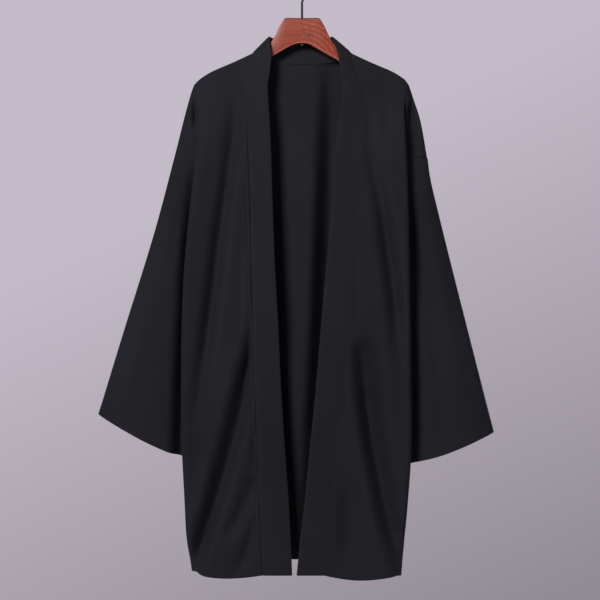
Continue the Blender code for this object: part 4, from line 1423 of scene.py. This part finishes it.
class HAORI_OT_stitching(bpy.types.Operator):
    """Sew the hems, the cuffs and the neckband's inner edge"""
    bl_idname = "haori.stitching"
    bl_label = "Stitching"

    def execute(self, context):
        cloth, look, _ = settings()
        size = (cloth.stitch_length, cloth.stitch_pitch, cloth.stitch_radius)
        body_row = hem_row(BODY_ROWS, cloth)
        cuff_row = hem_row(SLEEVE_ROWS, cloth)
        out = cloth.cloth_wall / 2
        for piece in ("front_left", "front_right", "back_panel"):
            sides = SIDES if piece == "back_panel" else (piece[6:],)
            lines = [line_on(f"{piece}.{side}.panel", body_row, out) for side in sides]
            sew(f"stitches_{piece}", lines, size, look)
        for side in SIDES:
            sew(f"stitches_sleeve_{side}", [line_on(f"sleeve_{side}", cuff_row, out)], size, look)
        along_band = (slice(BAND_INNER_START, -BAND_INNER_START), 1)
        lines = [line_on("neckband", along_band, -cloth.band_wall / 2)]
        sew("stitches_neckband", lines, size, look)
        return {"FINISHED"}


def sew(name, lines, size, look):
    """Adds the stitches of one piece, which ride with the cloth."""
    item = stitch_run(name, lines, size, shared(thread_material, "haori thread", look))
    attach(item, BODY)


class HAORI_OT_hanger(bpy.types.Operator):
    """Make the wooden hanger with its wire hook and nut"""
    bl_idname = "haori.hanger"
    bl_label = "Hanger"

    def execute(self, context):
        _, look, _ = settings()
        board = make_board(wood_material("varnished wood", look))
        wire = make_wire(metal_material("dark wire", look.wire_colour, 0.5, 0.15, 0.1))
        nut = make_nut(metal_material("nut brass", look.nut_colour, 0.35, 0.7, 0.9))
        for item, node, slot in ((board, "hanger_wood", "wood"), (wire, "hook_wire", "wire"),
                                 (nut, "hook_wire", "wire")):
            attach(item, BODY)
            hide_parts(node)
        return {"FINISHED"}


class HAORI_OT_stage(bpy.types.Operator):
    """Set up the floor, the light and the camera"""
    bl_idname = "haori.stage"
    bl_label = "Stage"

    def execute(self, context):
        _, _, stage = settings()
        scene = bpy.context.scene
        lights = [area_light(name, place, size, getattr(stage, name + "_power"))
                  for name, (place, size) in LIGHTS.items()]
        make_floor(stage)
        make_surround(scene, stage)
        data = bpy.data.cameras.new("camera")
        data.sensor_width = SENSOR_WIDTH
        data.lens = SENSOR_WIDTH * stage.camera_distance / stage.view_width
        scene.camera = add_object("camera", data)
        scene.camera.location = (stage.camera_x, -stage.camera_distance, stage.camera_z)
        scene.camera.rotation_euler = (math.pi / 2, 0, 0)
        scene.view_settings.view_transform = "Standard"
        return {"FINISHED"}


def make_floor(stage):
    half = stage.floor_half
    data = bpy.data.meshes.new("floor")
    data.from_pydata([(-half, -half, 0), (half, -half, 0), (half, half, 0), (-half, half, 0)],
                     [], [(0, 1, 2, 3)])
    graph = Graph(bpy.data.materials.new("floor"))
    grain = graph.noise(graph.place(), 3, 2)
    graph.put(graph.shader, {"Roughness": 0.9, "Base Color": graph.ramp(grain, FLOOR_COLOURS)})
    data.materials.append(graph.owner)
    floor = add_object("floor", data)
    floor.location.z = stage.floor_height
    return floor


def area_light(name, place, size, watts):
    data = bpy.data.lights.new(name, "AREA")
    data.size = size
    data.energy = watts
    item = add_object(name, data)
    item.location = place
    towards = Vector(LIGHTS_AIM) - Vector(place)
    item.rotation_euler = towards.to_track_quat("-Z", "Y").to_euler()
    return item


def make_surround(scene, stage):
    """A pale surround; for the camera, painted light makes it a little lighter towards the upper
    left.
    """
    scene.world = bpy.data.worlds.new("surround")
    graph = Graph(scene.world, "Background")
    light = graph.add("Background", {"Color": tint(stage.surround, 1),
                                     "Strength": stage.surround_light})
    directly = graph.add("LightPath").outputs["Is Camera Ray"]
    both = graph.add("MixShader", {0: directly, 1: light.outputs[0], 2: graph.shader.outputs[0]})
    graph.put(graph.tree.nodes["World Output"], {"Surface": both.outputs[0]})
    way = graph.add("TexCoord").outputs["Generated"]
    lean = graph.add("VectorMath", {0: way, 1: SURROUND_LEAN}, operation="DOT_PRODUCT")
    share = graph.plus(lean.outputs["Value"], 0.5)
    stops = [(at, tint(stage.surround, tone)) for at, tone in SURROUND_TONES]
    graph.put(graph.shader, {"Color": graph.ramp(share, stops)})


class HAORI_PT_panel(bpy.types.Panel):
    """Settings and steps for the haori jacket"""
    bl_idname = "HAORI_PT_panel"
    bl_label = "Haori Jacket"
    bl_space_type = "VIEW_3D"
    bl_region_type = "UI"
    bl_category = "Haori"

    def draw(self, context):
        for group in settings():
            box = self.layout.box()
            for name in type(group).__annotations__:
                box.prop(group, name)
        for operator in OPERATORS:
            self.layout.operator(operator.bl_idname)


GROUPS = [("haori_cloth", HaoriCloth), ("haori_look", HaoriLook), ("haori_stage", HaoriStage)]
OPERATORS = [HAORI_OT_body, HAORI_OT_sleeves, HAORI_OT_neckband, HAORI_OT_hanger,
             HAORI_OT_stitching, HAORI_OT_stage]


def register():
    for name, group in GROUPS:
        bpy.utils.register_class(group)
        setattr(bpy.types.Scene, name, bpy.props.PointerProperty(type=group))
    for item in [*OPERATORS, HAORI_PT_panel]:
        bpy.utils.register_class(item)


def unregister():
    for item in [HAORI_PT_panel, *reversed(OPERATORS)]:
        bpy.utils.unregister_class(item)
    for name, group in reversed(GROUPS):
        delattr(bpy.types.Scene, name)
        bpy.utils.unregister_class(group)


def main():
    register()
    bpy.ops.haori.body()
    bpy.ops.haori.sleeves()
    bpy.ops.haori.neckband()
    bpy.ops.haori.hanger()
    bpy.ops.haori.stitching()
    bpy.ops.haori.stage()


if __name__ == "__main__":
    main()
